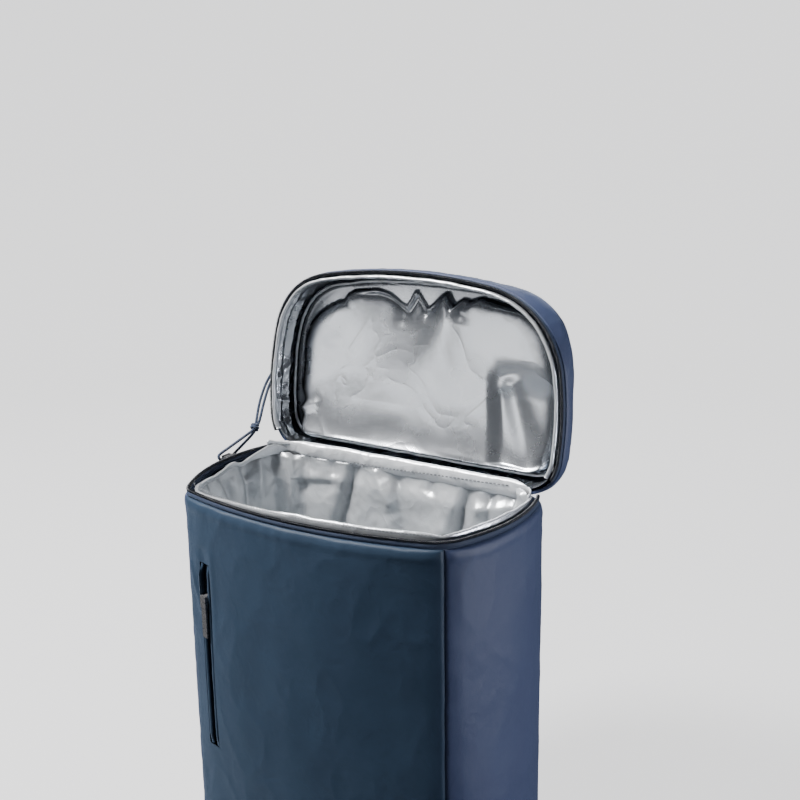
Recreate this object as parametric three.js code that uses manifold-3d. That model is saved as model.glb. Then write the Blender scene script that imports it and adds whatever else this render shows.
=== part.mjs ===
// A soft cooler backpack that stands on its base with its lid open.
// Millimetres, +X to the right as seen from the front, +Y to the back, +Z up,
// with the origin on the floor in the middle of the base.
import * as THREE from "three";
import { mergeVertices } from "three/addons/utils/BufferGeometryUtils.js";
import Module from "manifold-3d";

const wasm = await Module();
wasm.setup();

// Clearances between neighbours
const seamGap = 0.4; // between two sewn pieces
const looseGap = 0.6; // between the padded walls and the loose lining

// The body as seen from above: a flat back, bowed sides and a bowed front
const bodyHeight = 400; // floor to zip rim
const frontSeamWidth = 272; // between the front corners before the right one is pushed out
const backWidth = 301;
const sideDepth = 178; // back to the left front corner
const cornerOut = 10; // the soft body's right front corner stands this far further out
const cornerBack = 9; // and this far further back
const frontBow = 23.5;
const leftBow = 24;
const rightBow = 21;
const frontCorner = 9; // length that the rounding takes from each side
const pushedCorner = 17; // the same at the right front corner
const backCorner = 28;

// Padded walls
const wallThickness = 5;
const wallSwell = 2.2; // how far the padding swells between seams
const swellReach = 26; // distance from a seam at which the swell is full
const hemRound = 2.8; // rounding of the walls' bottom edge
const hemLift = 0.8; // the walls end this far above the floor
const baseThickness = 6;
const baseRound = 1.5;

// Zips
const zipBandHeight = 7.2; // coil and bare tape together
const coilHeight = 3;
const coilWidth = 4.6;
const coilSetBack = 0.6;
const tapeThickness = 1.4;
const tapeSetBack = 1;
const zipRoundCorner = 0.3; // share of each back corner that the zip goes round

// Lining and its rim roll
const liningThickness = 1.5;
const liningFrontCorner = 12;
const liningBackCorner = 24;
const liningFloorRound = 6;
const rollThickness = 3.8;
const rollDepth = 4.6; // least height of the roll
const rollRise = 5.5; // highest point of the roll above the zip rim
const rollFoot = 10.5; // how far the roll reaches below the zip rim
const foldDepth = 7; // deepest fold of the lining

// Lid, described as if closed, with its rim at z = 0 and its hinge along y = 0
const lidSpread = 14; // how much wider the lid's rim stands on each side than the body's
const lidReach = 2.5; // how much deeper the lid's rim is than the body's
const lidFrontBow = 19;
const lidSideBow = 13.5;
const lidFrontCorner = 45;
const lidRightCorner = 60; // the same at the right front corner
const lidFlare = 9; // how far the lid spreads towards its top at that corner
const lidFlareEnds = 0.25; // share of the flare left at the corner's ends
const lidFlareReach = { right: 0.4, front: 0.3 }; // share of each side on which it dies away
const lidBackCorner = 36;
const lidDepth = 38;
const lidTaper = 5; // how far the lid's wall leans in up to the seam of its top
const lidEdgeRound = 9; // how far the top's edge leans in beyond that seam
const lidEdgeRise = 7; // height of that edge
const lidCrown = 4; // rise of the top's middle
const lidWall = 3;
const lidLiningThickness = 1.2;
const lidRollOut = 1.5; // how far the lid's rim roll stands out of the rim
const lidPucker = 4; // deepest pucker of the lid's lining
const weltRadius = 1.5;
const lidLean = 5.1; // degrees that the open lid leans back
const hingeDrop = 8.5; // lid's hinge line below the zip rim
const hingeInset = 11.9; // lid's hinge line in front of the back
const hingeStripThickness = 1.2;
const hingeStripRise = 12; // height of the strip above the hinge line
const hingeStripDrop = 4.4; // reach of the strip below the hinge line
const hingeStripSteps = 8;

// Zip pull: a slider on the left side of the rim, with a knotted cord
const sliderShare = 0.67; // place along the left side, from the front corner
const sliderLength = 15;
const sliderHeight = 6;
const sliderThickness = 3.2;
const eyeLength = 11;
const eyeHole = 3.6;
const eyeWall = 1.2;
const cordDiameter = 3;
const cordSides = 8;
const cordStep = 8; // length of cord between two rings of the tube
const knotRadius = 6;
const knotLength = 12;
const knotSides = 10;
const knotRings = 8;

// Pocket in the front, closed by an upright zip
const pocketSlotWidth = 15;
const pocketSlotHeight = 190;
const pocketSlotFromSeam = 31; // middle of the slot from the left front seam
const pocketTopDrop = 66; // top of the slot below the zip rim
const pocketTapeThickness = 1.2;
const pocketTapeDepth = 2.6; // how deep the tape lies in the slot
const pocketCoilWidth = 4;
const pocketCoilThickness = 1.6;
const pocketLipWidth = 4.4;
const pocketLipRise = 1.4; // lips stand this far out of the wall
const pocketSliderWidth = 8;
const pocketSliderLength = 12;
const pocketSliderThickness = 3;
const pocketSliderDrop = 38; // slider below the top of the slot
const pullerWidth = 7;
const pullerLength = 30;
const pullerThickness = 2;

// Shoulder straps on the back
const strapWidth = 62;
const strapFootWidth = 48;
const strapThickness = 11;
const strapEdgeRound = 3;
const strapSteps = 14;
const strapTopDrop = 58; // top of the straps below the zip rim
const strapTopSpacing = 96; // between the straps' middles at the top
const strapFootSpacing = 176; // between the straps' middles at their lower ends
const strapFootHeight = 112;
const strapBulge = 46; // how far the straps stand off the back
const yokeHeight = 34;
const yokeThickness = 3;
const yokeMargin = 12; // yoke beyond the straps on each side
const webbingWidth = 25;
const webbingThickness = 1.8;
const webbingEdgeRound = 0.3;
const webbingSteps = 8;
const webbingHandle = 0.4; // share of the webbing's span over which each end keeps its direction
const anchorHeight = 42; // middle of the lower anchors above the floor
const anchorFromSide = 47.5; // middle of each anchor from the edge of the back
const anchorWidth = 34;
const anchorLength = 30;
const anchorThickness = 2.4;
const adjusterWidth = 34;
const adjusterLength = 22;
const adjusterThickness = 6;
const adjusterBar = 4;

// Number of steps along each stretch of a plan
const bodySteps = { right: 8, left: 8, front: 10, back: 8, corner: 3 };
const lidSteps = { right: 6, left: 6, front: 8, back: 5, corner: 5 };

// Rows of a padded wall, from its bottom up: height as a share of the wall,
// and shares of the hem's rounding and of the swell
const wallRows = [
  { up: 0, hem: 1, swell: 0 },
  { up: 0.012, hem: 0.25, swell: 0 },
  { up: 0.035, hem: 0, swell: 0.35 },
  { up: 0.1, hem: 0, swell: 0.9 },
  { up: 0.35, hem: 0, swell: 1 },
  { up: 0.62, hem: 0, swell: 0.85 },
  { up: 0.85, hem: 0, swell: 0.75 },
  { up: 0.95, hem: 0, swell: 0.95 },
  { up: 0.98, hem: 0, swell: 0.7 },
  { up: 1, hem: 0, swell: 0.1 },
];

// Rim roll: its top above the zip rim on each stretch, as shares of the roll's rise.
// Where no shares stand, the roll lies under the lid's hinge.
const rollRows = {
  right: { start: -0.1, middle: 1, end: 0.65 },
  frontRight: { start: 0.65, middle: 0.2, end: 0.8 },
  front: { start: 0.8, middle: 0.9, end: -0.4 },
  frontLeft: { start: -0.4, middle: -0.45, end: -0.4 },
  left: { start: -0.4, middle: -1.1, end: -1.1 },
};

// Upright folds of the body's lining: place and half width along a wall,
// depth as a share of the deepest fold, and sideways lean from top to floor
const bodyFolds = [
  { wall: "left", at: 0.3, width: 0.14, depth: 0.7, lean: -0.1 },
  { wall: "left", at: 0.62, width: 0.12, depth: 0.6, lean: 0.1 },
  { wall: "back", at: 0.12, width: 0.12, depth: 0.6, lean: 0.05 },
  { wall: "back", at: 0.36, width: 0.12, depth: 1, lean: -0.08 },
  { wall: "back", at: 0.62, width: 0.11, depth: 0.6, lean: 0.05 },
  { wall: "back", at: 0.84, width: 0.1, depth: 0.9, lean: -0.06 },
  { wall: "right", at: 0.35, width: 0.16, depth: 0.7, lean: 0.1 },
  { wall: "front", at: 0.3, width: 0.14, depth: 0.6, lean: 0.08 },
  { wall: "front", at: 0.7, width: 0.14, depth: 0.7, lean: -0.08 },
];

// Rows of the lining's walls, from the floor up: height as a share of the wall,
// and the share of its full depth that each fold has there
const liningRows = [
  { up: 0.04, fold: 0.05 },
  { up: 0.22, fold: 0.8 },
  { up: 0.45, fold: 1 },
  { up: 0.68, fold: 1 },
  { up: 0.86, fold: 0.84 },
  { up: 1, fold: 0.25 },
];

// The lid's wall from its foot to the seam of its top: shares of its height and of its taper
const lidWallRows = [
  { up: 0, taper: 0 },
  { up: 0.35, taper: 0.12 },
  { up: 0.7, taper: 0.49 },
  { up: 1, taper: 1 },
];

// The lid's top from its seam inward: shares of the edge's lean and rise, and of the crown,
// and the share of the way to the middle
const lidTopRows = [
  { lean: 0, rise: 0, crown: 0, toCentre: 0 },
  { lean: 0.2, rise: 0.55, crown: 0, toCentre: 0 },
  { lean: 0.5, rise: 0.85, crown: 0, toCentre: 0 },
  { lean: 1, rise: 1, crown: 0, toCentre: 0 },
  { lean: 1, rise: 1, crown: 0.7, toCentre: 0.45 },
  { lean: 1, rise: 1, crown: 1, toCentre: 1 },
];

// The wall of the lid's lining: shares of the height up to the lid's seam and of the taper
const lidLiningRows = [
  { up: 0, taper: 0 },
  { up: 0.6, taper: 0.3 },
  { up: 1, taper: 0.8 },
];

// The roof of the lid's lining from its edge inward: shares of the puckers' depth and of the
// crown, and the share of the way to the middle
const lidRoofRows = [
  { pucker: 0, crown: 0, toCentre: 0 },
  { pucker: 1, crown: 0, toCentre: 0.18 },
  { pucker: 0.4, crown: 0.6, toCentre: 0.5 },
  { pucker: 0, crown: 0.8, toCentre: 1 },
];

// The hinge strip from its foot up: which part it lies behind, and shares of its drop and rise
const hingeRows = [
  { behind: "roll", drop: 1, rise: 0 },
  { behind: "roll", drop: 0.4, rise: 0 },
  { behind: "lid", drop: 0, rise: 0.04 },
  { behind: "lid", drop: 0, rise: 0.55 },
  { behind: "lid", drop: 0, rise: 1 },
];

// Puckers of the lid's lining, which run from its edge towards its middle
const lidFolds = [
  { wall: "front", at: 0.36, width: 0.12, depth: 1 },
  { wall: "front", at: 0.62, width: 0.12, depth: 0.7 },
  { wall: "right", at: 0.5, width: 0.2, depth: 0.8 },
  { wall: "left", at: 0.4, width: 0.2, depth: 0.6 },
  { wall: "back", at: 0.7, width: 0.2, depth: 0.7 },
];

// One shoulder strap, from the yoke down: shares of its sideways spread, height and stand-off
const strapRows = [
  { spread: 0, height: 1, off: 0.01 },
  { spread: 0, height: 0.95, off: 0.02 },
  { spread: 0.18, height: 0.77, off: 0.68 },
  { spread: 0.45, height: 0.52, off: 1 },
  { spread: 0.75, height: 0.22, off: 0.72 },
  { spread: 1, height: 0, off: 0.38 },
];

// Route of the zip pull's cord, chosen by hand: two strands up to the knot, and a loop above it
const strandFront = [
  [-172.2, 17.2, 396.2],
  [-173.2, 12.8, 396.8],
  [-174.6, 13.4, 401],
  [-175.4, 30, 404.6],
  [-176.7, 68.2, 412.5],
];
const strandBack = [
  [-172.3, 30, 396.2],
  [-173.6, 38, 398.4],
  [-177.4, 70.2, 409],
];
const loopRoute = [
  [-179.1, 78.4, 419.8],
  [-181, 87.4, 438],
  [-179.8, 96.2, 455],
  [-177.6, 104, 466],
  [-175.4, 108.4, 469.4],
  [-173.9, 106.4, 466],
  [-176.2, 98.6, 455],
  [-177.2, 89.9, 438],
  [-175.3, 78.4, 419.8],
];
const knotMiddle = [-177.2, 74.2, 415];
const knotDirection = [0, 0.62, 0.78];

const cloth = new THREE.MeshStandardMaterial({ color: 0x2f4768, roughness: 0.62 });
const sideCloth = new THREE.MeshStandardMaterial({ color: 0x3b4a70, roughness: 0.62 });
const foil = new THREE.MeshStandardMaterial({ color: 0xb9c0c8, roughness: 0.28, metalness: 0.85 });
const tapeCloth = new THREE.MeshStandardMaterial({ color: 0x1b2540, roughness: 0.75 });
const coilPlastic = new THREE.MeshStandardMaterial({ color: 0x14171f, roughness: 0.4 });
const sliderMetal = new THREE.MeshStandardMaterial({ color: 0x15171b, roughness: 0.35, metalness: 0.6 });
const cordCloth = new THREE.MeshStandardMaterial({ color: 0x2b4a78, roughness: 0.7 });

// Values that follow from the driving dimensions
const overallDepth = sideDepth - cornerBack / 2 + frontBow;
const backY = overallDepth / 2;
const wallTop = bodyHeight - zipBandHeight - seamGap;
const hingeSeat = bodyHeight - hingeDrop - 2 * looseGap; // top of the walls under the lid's hinge
const liningInset = wallThickness + looseGap;
const lidLiningInset = coilSetBack + coilWidth + looseGap;
const lidLiningFoot = coilHeight + coilSetBack + looseGap;
const lidSeamHeight = lidDepth - lidEdgeRise;

const bodyPlan = {
  backWidth,
  frontWidth: frontSeamWidth,
  sideDepth,
  frontBow,
  leftBow,
  rightBow,
  frontCorner,
  pushedCorner,
  cornerOut,
  cornerBack,
  backCorner,
  backLine: 0,
};
const liningPlan = {
  ...bodyPlan,
  backWidth: backWidth - 2 * liningInset,
  frontWidth: frontSeamWidth - 2 * liningInset,
  sideDepth: sideDepth - 2 * liningInset,
  frontCorner: liningFrontCorner,
  pushedCorner: pushedCorner - liningInset / 2,
  backCorner: liningBackCorner,
  backLine: -liningInset,
};
const lidPlan = {
  ...bodyPlan,
  backWidth: backWidth + 2 * lidSpread,
  frontWidth: frontSeamWidth + 2 * lidSpread,
  sideDepth: sideDepth + lidReach,
  frontBow: lidFrontBow,
  leftBow: lidSideBow,
  rightBow: lidSideBow,
  frontCorner: lidFrontCorner,
  pushedCorner: lidRightCorner,
  cornerOut: 0,
  cornerBack: 0,
  backCorner: lidBackCorner,
};

const mix = THREE.MathUtils.lerp;
const smooth = (value) => THREE.MathUtils.smoothstep(value, 0, 1);

// A smooth hump, 1 at zero and 0 beyond one on both sides
const hump = (value) => 1 - smooth(Math.abs(value));

// The piece of a quadratic curve between two of its parameters
function subCurve(curve, from, to) {
  const early = curve.v0.clone().lerp(curve.v1, from);
  const late = curve.v1.clone().lerp(curve.v2, from);
  return new THREE.QuadraticBezierCurve(curve.getPoint(from), early.lerp(late, to), curve.getPoint(to));
}

// One side of a plan: a line bowed outward and cut short for the corners
function bowedSide(start, end, bow, startCut, endCut) {
  const along = end.clone().sub(start);
  const outward = new THREE.Vector2(-along.y, along.x).normalize();
  const middle = start.clone().lerp(end, 0.5).addScaledVector(outward, 2 * bow);
  const whole = new THREE.QuadraticBezierCurve(start, middle, end);
  const length = whole.getLength();
  return subCurve(whole, startCut / length, 1 - endCut / length);
}

// The curves of a plan, each running clockwise as seen from above
function planCurves(plan) {
  const front = plan.backLine - plan.sideDepth;
  const vertices = {
    backRight: new THREE.Vector2(plan.backWidth / 2, plan.backLine),
    frontRight: new THREE.Vector2(plan.frontWidth / 2 + plan.cornerOut, front + plan.cornerBack),
    frontLeft: new THREE.Vector2(-plan.frontWidth / 2, front),
    backLeft: new THREE.Vector2(-plan.backWidth / 2, plan.backLine),
  };
  const { backRight, frontRight, frontLeft, backLeft } = vertices;
  const cut = { front: plan.frontCorner, pushed: plan.pushedCorner, back: plan.backCorner };
  const right = bowedSide(backRight, frontRight, plan.rightBow, cut.back, cut.pushed);
  const face = bowedSide(frontRight, frontLeft, plan.frontBow, cut.pushed, cut.front);
  const left = bowedSide(frontLeft, backLeft, plan.leftBow, cut.front, cut.back);
  const back = bowedSide(backLeft, backRight, 0, cut.back, cut.back);
  const corner = (before, vertex, after) => new THREE.QuadraticBezierCurve(before.v2, vertex, after.v0);
  return {
    right,
    frontRight: corner(right, frontRight, face),
    front: face,
    frontLeft: corner(face, frontLeft, left),
    left,
    backLeft: corner(left, backLeft, back),
    back,
    backRight: corner(back, backRight, right),
  };
}

// A place on a plan: its point, the outward direction, and how far along the stretches it lies
function stationAt(stretch, share, before) {
  const tangent = stretch.curve.getTangent(share);
  return {
    name: stretch.name,
    share,
    point: stretch.curve.getPoint(share),
    normal: new THREE.Vector2(-tangent.y, tangent.x),
    travelled: before + share * stretch.curve.getLength(),
  };
}

// Stations along a row of stretches, each a named curve with its number of steps
function walk(stretches, closed) {
  const stations = [];
  let before = 0;
  for (const stretch of stretches) {
    for (let i = 0; i < stretch.steps; i += 1) {
      stations.push(stationAt(stretch, i / stretch.steps, before));
    }
    before += stretch.curve.getLength();
  }
  if (!closed) {
    const last = stretches.at(-1);
    stations.push(stationAt(last, 1, before - last.curve.getLength()));
  }
  return stations;
}

function stretchesOf(plan, steps, names) {
  const curves = planCurves(plan);
  return names.map((name) => ({ name, curve: curves[name], steps: steps[name] ?? steps.corner }));
}

// Round a whole plan, starting at the back end of the right side
function walkRound(plan, steps) {
  const names = ["right", "frontRight", "front", "frontLeft", "left", "backLeft", "back", "backRight"];
  return walk(stretchesOf(plan, steps, names), true);
}

// Along the sides and the front, and the zip's share of the back corners
function walkZip(plan, steps) {
  const names = ["backRight", "right", "frontRight", "front", "frontLeft", "left", "backLeft"];
  const stretches = stretchesOf(plan, steps, names);
  const [first, last] = [stretches[0], stretches.at(-1)];
  first.curve = subCurve(first.curve, 1 - zipRoundCorner, 1);
  last.curve = subCurve(last.curve, 0, zipRoundCorner);
  first.steps = 1;
  last.steps = 1;
  return walk(stretches, false);
}

// A closed mesh with its faces pointing out, from points and triangles.
// Points that coincide become one, and triangles left without area are dropped.
function solid(points, triangles) {
  const raw = new THREE.BufferGeometry();
  raw.setAttribute("position", new THREE.Float32BufferAttribute(points.flatMap((p) => p.toArray()), 3));
  raw.setIndex(triangles.flat());
  const merged = mergeVertices(raw, 0.001);
  const at = merged.getAttribute("position");
  const corner = [0, 1, 2].map(() => new THREE.Vector3());
  const kept = [];
  let volume = 0;
  for (let i = 0; i < merged.index.count; i += 3) {
    const ids = [0, 1, 2].map((k) => merged.index.getX(i + k));
    if (new Set(ids).size === 3) {
      kept.push(ids);
      ids.forEach((id, k) => corner[k].fromBufferAttribute(at, id));
      volume += corner[0].dot(corner[1].cross(corner[2]));
    }
  }
  const outward = volume > 0 ? kept : kept.map(([a, b, c]) => [a, c, b]);
  merged.setIndex(outward.flat());
  merged.computeVertexNormals();
  return merged;
}

// A solid through a row of sections with equally many points.
// The sections are closed, or else each starts and ends at a point that all of them share.
function loft(sections, { closedPath = false, sharedEnds = false } = {}) {
  const across = sections[0].length;
  const at = (i, j) => (i % sections.length) * across + (j % across);
  const pathSteps = closedPath ? sections.length : sections.length - 1;
  const sectionSteps = sharedEnds ? across - 1 : across;
  const triangles = [];
  for (let i = 0; i < pathSteps; i += 1) {
    for (let j = 0; j < sectionSteps; j += 1) {
      triangles.push([at(i, j), at(i + 1, j), at(i + 1, j + 1)]);
      triangles.push([at(i, j), at(i + 1, j + 1), at(i, j + 1)]);
    }
  }
  if (!closedPath) {
    for (let j = 0; j < across / 2 - 1; j += 1) {
      triangles.push(...endQuad(at, 0, j, across), ...endQuad(at, pathSteps, j, across, true));
    }
  }
  return solid(sections.flat(), triangles);
}

// Two triangles of a lofted solid's end, between a point of the section and its opposite
function endQuad(at, i, j, across, far = false) {
  const [a, b] = [at(i, j), at(i, j + 1)];
  const [c, d] = [at(i, across - 2 - j), at(i, across - 1 - j)];
  return far ? [[a, c, b], [a, d, c]] : [[a, b, c], [a, c, d]];
}

// A solid that follows a plan. Each section is a list of places given as
// out (from the plan's line), up, and toCentre (share of the way to the plan's middle).
function follow(stations, sectionAt, options) {
  const centre = new THREE.Vector2(0, -overallDepth / 2);
  const sections = stations.map((station) =>
    sectionAt(station).map(({ out = 0, up, toCentre = 0 }) => {
      const place = station.point.clone().addScaledVector(station.normal, out).lerp(centre, toCentre);
      return new THREE.Vector3(place.x, place.y, up);
    }),
  );
  return loft(sections, options);
}

// An oval section with an even number of points
function oval(out, up, width, height, sides = 6) {
  return Array.from({ length: sides }, (_, i) => {
    const turn = ((i + 0.5) / sides) * 2 * Math.PI;
    return { out: out + (width / 2) * Math.cos(turn), up: up + (height / 2) * Math.sin(turn) };
  });
}

function rectangle(outLow, outHigh, upLow, upHigh) {
  return [
    { out: outLow, up: upLow },
    { out: outLow, up: upHigh },
    { out: outHigh, up: upHigh },
    { out: outHigh, up: upLow },
  ];
}

function piece(name, geometry, material, parent) {
  const mesh = new THREE.Mesh(geometry, material);
  mesh.name = name;
  parent.add(mesh);
  return mesh;
}

function toManifold(geometry) {
  const bare = new THREE.BufferGeometry();
  bare.setAttribute("position", geometry.getAttribute("position"));
  bare.setIndex(geometry.index);
  const merged = mergeVertices(bare, 0.001);
  return new wasm.Manifold(
    new wasm.Mesh({
      numProp: 3,
      vertProperties: new Float32Array(merged.getAttribute("position").array),
      triVerts: new Uint32Array(merged.index.array),
    }),
  );
}

function fromManifold(manifold) {
  const { vertProperties, triVerts } = manifold.getMesh();
  const geometry = new THREE.BufferGeometry();
  geometry.setAttribute("position", new THREE.BufferAttribute(vertProperties, 3));
  geometry.setIndex(new THREE.BufferAttribute(triVerts, 1));
  geometry.computeVertexNormals();
  return geometry;
}

// A box whose middle lies at the given place
function box(sizeX, sizeY, sizeZ, x = 0, y = 0, z = 0) {
  return new THREE.BoxGeometry(sizeX, sizeY, sizeZ).translate(x, y, z);
}

const body = new THREE.Group();
body.position.y = backY;

// Padded outer walls

// 1 along the hinge, falling to 0 over the first half of each back corner
function hingeShare({ name, share }) {
  const turning = { backLeft: share, back: 1, backRight: 1 - share };
  return smooth(2 * (turning[name] ?? 0));
}

// A wall that follows a row of stretches, closed by seams at both ends
function paddedWall(stretches) {
  for (const [stretch, from, to] of [
    [stretches[0], 1, 0],
    [stretches.at(-1), 0, 1],
  ]) {
    const trim = seamGap / 2 / stretch.curve.getLength();
    stretch.curve = subCurve(stretch.curve, from * trim, 1 - to * trim);
  }
  const stations = walk(stretches, false);
  const length = stations.at(-1).travelled;
  return follow(stations, (station) => {
    const fromSeam = Math.min(station.travelled, length - station.travelled);
    const full = smooth(fromSeam / swellReach);
    const top = mix(wallTop, hingeSeat, hingeShare(station));
    const height = (row) => mix(hemLift, top, row.up);
    const outer = wallRows.map((row) => ({
      out: full * wallSwell * row.swell - hemRound * row.hem,
      up: height(row),
    }));
    const inner = wallRows.map((row) => ({ out: -wallThickness, up: height(row) }));
    return [...outer, ...inner.reverse()];
  });
}

function halfCorner(curve, first) {
  return { name: "corner", curve: subCurve(curve, first ? 0 : 0.5, first ? 0.5 : 1), steps: 2 };
}

function outerWalls() {
  const curves = planCurves(bodyPlan);
  const front = paddedWall([
    halfCorner(curves.frontRight, false),
    { name: "front", curve: curves.front, steps: 12 },
    halfCorner(curves.frontLeft, true),
  ]);
  const right = paddedWall([
    { name: "backRight", curve: curves.backRight, steps: 4 },
    { name: "right", curve: curves.right, steps: 8 },
    halfCorner(curves.frontRight, true),
  ]);
  const left = paddedWall([
    halfCorner(curves.frontLeft, false),
    { name: "left", curve: curves.left, steps: 8 },
    { name: "backLeft", curve: curves.backLeft, steps: 4 },
  ]);
  const back = paddedWall([{ name: "back", curve: curves.back, steps: 9 }]);
  piece("front_panel", withPocketSlot(front), cloth, body);
  piece("side_panel_right", right, sideCloth, body);
  piece("side_panel_left", left, sideCloth, body);
  piece("back_panel", back, cloth, body);
}

function basePanel() {
  const section = [
    { up: 0, toCentre: 1 },
    { out: -baseRound, up: 0 },
    { up: baseRound },
    { up: baseThickness - baseRound },
    { out: -baseRound, up: baseThickness },
    { up: baseThickness, toCentre: 1 },
  ];
  const base = follow(walkRound(liningPlan, bodySteps), () => section, {
    closedPath: true,
    sharedEnds: true,
  });
  piece("base_panel", base, cloth, body);
}

// Zips round the two rims

// The coil nearest to the rim and the bare tape beside it; away is the way from the rim to the cloth
function zipHalf(prefix, plan, steps, rim, away, parent) {
  const stations = walkZip(plan, steps);
  const coil = oval(-coilSetBack - coilWidth / 2, rim + (away * coilHeight) / 2, coilWidth, coilHeight);
  const tapeStart = rim + away * (coilHeight + seamGap);
  const tapeEnd = rim + away * zipBandHeight;
  const tape = rectangle(-tapeSetBack - tapeThickness, -tapeSetBack, tapeStart, tapeEnd);
  piece(`${prefix}_zip_coil`, follow(stations, () => coil), coilPlastic, parent);
  piece(`${prefix}_zip_tape`, follow(stations, () => tape), tapeCloth, parent);
}

// Lining of the body

function rollTop(station) {
  const underHinge = hingeSeat - bodyHeight;
  const row = rollRows[station.name];
  if (row) {
    const half = station.share < 0.5;
    const [from, to] = half ? [row.start, row.middle] : [row.middle, row.end];
    return rollRise * mix(from, to, 2 * station.share - (half ? 0 : 1));
  }
  if (station.name === "backLeft") {
    return mix(rollRise * rollRows.left.end, underHinge, smooth(2 * station.share));
  }
  if (station.name === "backRight") {
    return mix(underHinge, rollRise * rollRows.right.start, smooth(2 * station.share - 1));
  }
  return underHinge;
}

function rollBottom(station) {
  return Math.min(-rollFoot, rollTop(station) - rollDepth);
}

function rimRoll() {
  const roll = follow(
    walkRound(liningPlan, bodySteps),
    (station) => {
      const top = bodyHeight + rollTop(station);
      const bottom = bodyHeight + rollBottom(station);
      const [outer, inner] = [-seamGap / 2, -rollThickness];
      const bevel = rollThickness / 3;
      return [
        { out: outer - bevel, up: bottom },
        { out: outer, up: bottom + bevel },
        { out: outer, up: top - bevel },
        { out: outer - bevel, up: top },
        { out: inner + bevel, up: top },
        { out: inner, up: top - bevel },
        { out: inner, up: bottom + bevel },
        { out: inner + bevel, up: bottom },
      ];
    },
    { closedPath: true },
  );
  piece("body_rim_roll", roll, foil, body);
}

// How far the folds of one table push a lining in at a station, at a height share from the bottom
function foldPush(folds, station, upShare = 1) {
  return folds
    .filter((fold) => fold.wall === station.name)
    .reduce((sum, fold) => {
      const at = fold.at + (fold.lean ?? 0) * (1 - upShare);
      return sum + fold.depth * hump((station.share - at) / fold.width);
    }, 0);
}

function bodyLining() {
  const floor = baseThickness + looseGap;
  const lining = follow(
    walkRound(liningPlan, { ...bodySteps, back: 12, right: 9, left: 9 }),
    (station) => {
      const top = bodyHeight + rollBottom(station) - seamGap;
      const start = floor + liningFloorRound;
      const wall = liningRows.map((row) => ({
        out: -foldDepth * row.fold * foldPush(bodyFolds, station, row.up),
        up: mix(start, top, row.up),
      }));
      const inside = wall.map(({ out, up }) => ({ out: out - liningThickness, up })).reverse();
      return [
        { up: floor, toCentre: 1 },
        { out: -liningFloorRound, up: floor },
        ...wall,
        ...inside,
        { out: -liningFloorRound - liningThickness, up: floor + liningThickness },
        { up: floor + liningThickness, toCentre: 1 },
      ];
    },
    { closedPath: true, sharedEnds: true },
  );
  piece("body_lining", lining, foil, body);
}

// The lid stands on the back wall, turned about its hinge line
const lid = new THREE.Group();
lid.position.set(0, -hingeInset, bodyHeight - hingeDrop);
lid.rotation.x = -THREE.MathUtils.degToRad(90 + lidLean);
body.add(lid);

// The lid's walls reach down to the rim only along the hinge, where it has no zip
function lidFoot(station, footAtZip) {
  const turning = { backLeft: station.share, back: 1, backRight: 1 - station.share };
  const share = turning[station.name] ?? 0;
  return mix(footAtZip, seamGap, smooth(2 * share - 1));
}

// The soft lid spreads towards its top at its right front corner
function flared(station, rows) {
  const shares = {
    right: lidFlareEnds * (1 - smooth((1 - station.share) / lidFlareReach.right)),
    frontRight: mix(lidFlareEnds, 1, Math.sin(Math.PI * station.share)),
    front: lidFlareEnds * (1 - smooth(station.share / lidFlareReach.front)),
  };
  const flare = lidFlare * (shares[station.name] ?? 0);
  const height = (up) => smooth((up - zipBandHeight) / (lidSeamHeight - zipBandHeight));
  return rows.map((row) => ({ ...row, out: row.out + flare * height(row.up) }));
}

function lidShell() {
  const stations = walkRound(lidPlan, lidSteps);
  const gusset = follow(
    stations,
    (station) => {
      const foot = lidFoot(station, zipBandHeight + seamGap);
      const outer = lidWallRows.map((row) => ({
        out: -lidTaper * row.taper,
        up: mix(foot, lidSeamHeight, row.up),
      }));
      const inner = outer.map(({ out, up }) => ({ out: out - lidWall, up })).reverse();
      return flared(station, [...outer, ...inner]);
    },
    { closedPath: true },
  );
  piece("lid_gusset", gusset, sideCloth, lid);

  const seam = lidSeamHeight + seamGap;
  const outer = lidTopRows.map((row) => ({
    out: -lidTaper - lidEdgeRound * row.lean,
    up: mix(seam, lidDepth, row.rise) + lidCrown * row.crown,
    toCentre: row.toCentre,
  }));
  const underside = outer.filter(({ up }) => up >= lidDepth).map((row) => ({ ...row, up: row.up - lidWall }));
  const inner = [...underside.reverse(), { out: -lidTaper - lidWall, up: seam }];
  const rows = [...inner, ...outer];
  const top = follow(stations, (station) => flared(station, rows), { closedPath: true, sharedEnds: true });
  piece("lid_top_panel", top, cloth, lid);
}

function lidLining() {
  const stations = walkRound(lidPlan, { ...lidSteps, front: 12, back: 8 });
  const roof = lidDepth - lidWall - 2 * looseGap;
  const edge = lidTaper + lidEdgeRound + lidWall;
  const wallEnd = lidSeamHeight - looseGap;
  const turn = wallEnd - lidLiningThickness;
  const lining = follow(
    stations,
    (station) => {
      const foot = lidFoot(station, lidLiningFoot);
      const pucker = lidPucker * foldPush(lidFolds, station);
      const wall = lidLiningRows.map((row) => ({
        out: -lidLiningInset - lidTaper * row.taper,
        up: mix(foot, wallEnd, row.up),
      }));
      const ceiling = lidRoofRows.map((row) => ({
        out: -edge,
        up: roof + lidCrown * row.crown - pucker * row.pucker,
        toCentre: row.toCentre,
      }));
      const outer = [...wall, ...ceiling];
      const inner = [
        ...wall.map(({ out, up }) => ({ out: out - lidLiningThickness, up: Math.min(up, turn) })),
        ...ceiling.map((row) => ({ ...row, up: row.up - lidLiningThickness })),
      ];
      return flared(station, [...inner.reverse(), ...outer]);
    },
    { closedPath: true, sharedEnds: true },
  );
  piece("lid_lining", lining, foil, lid);
}

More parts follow.
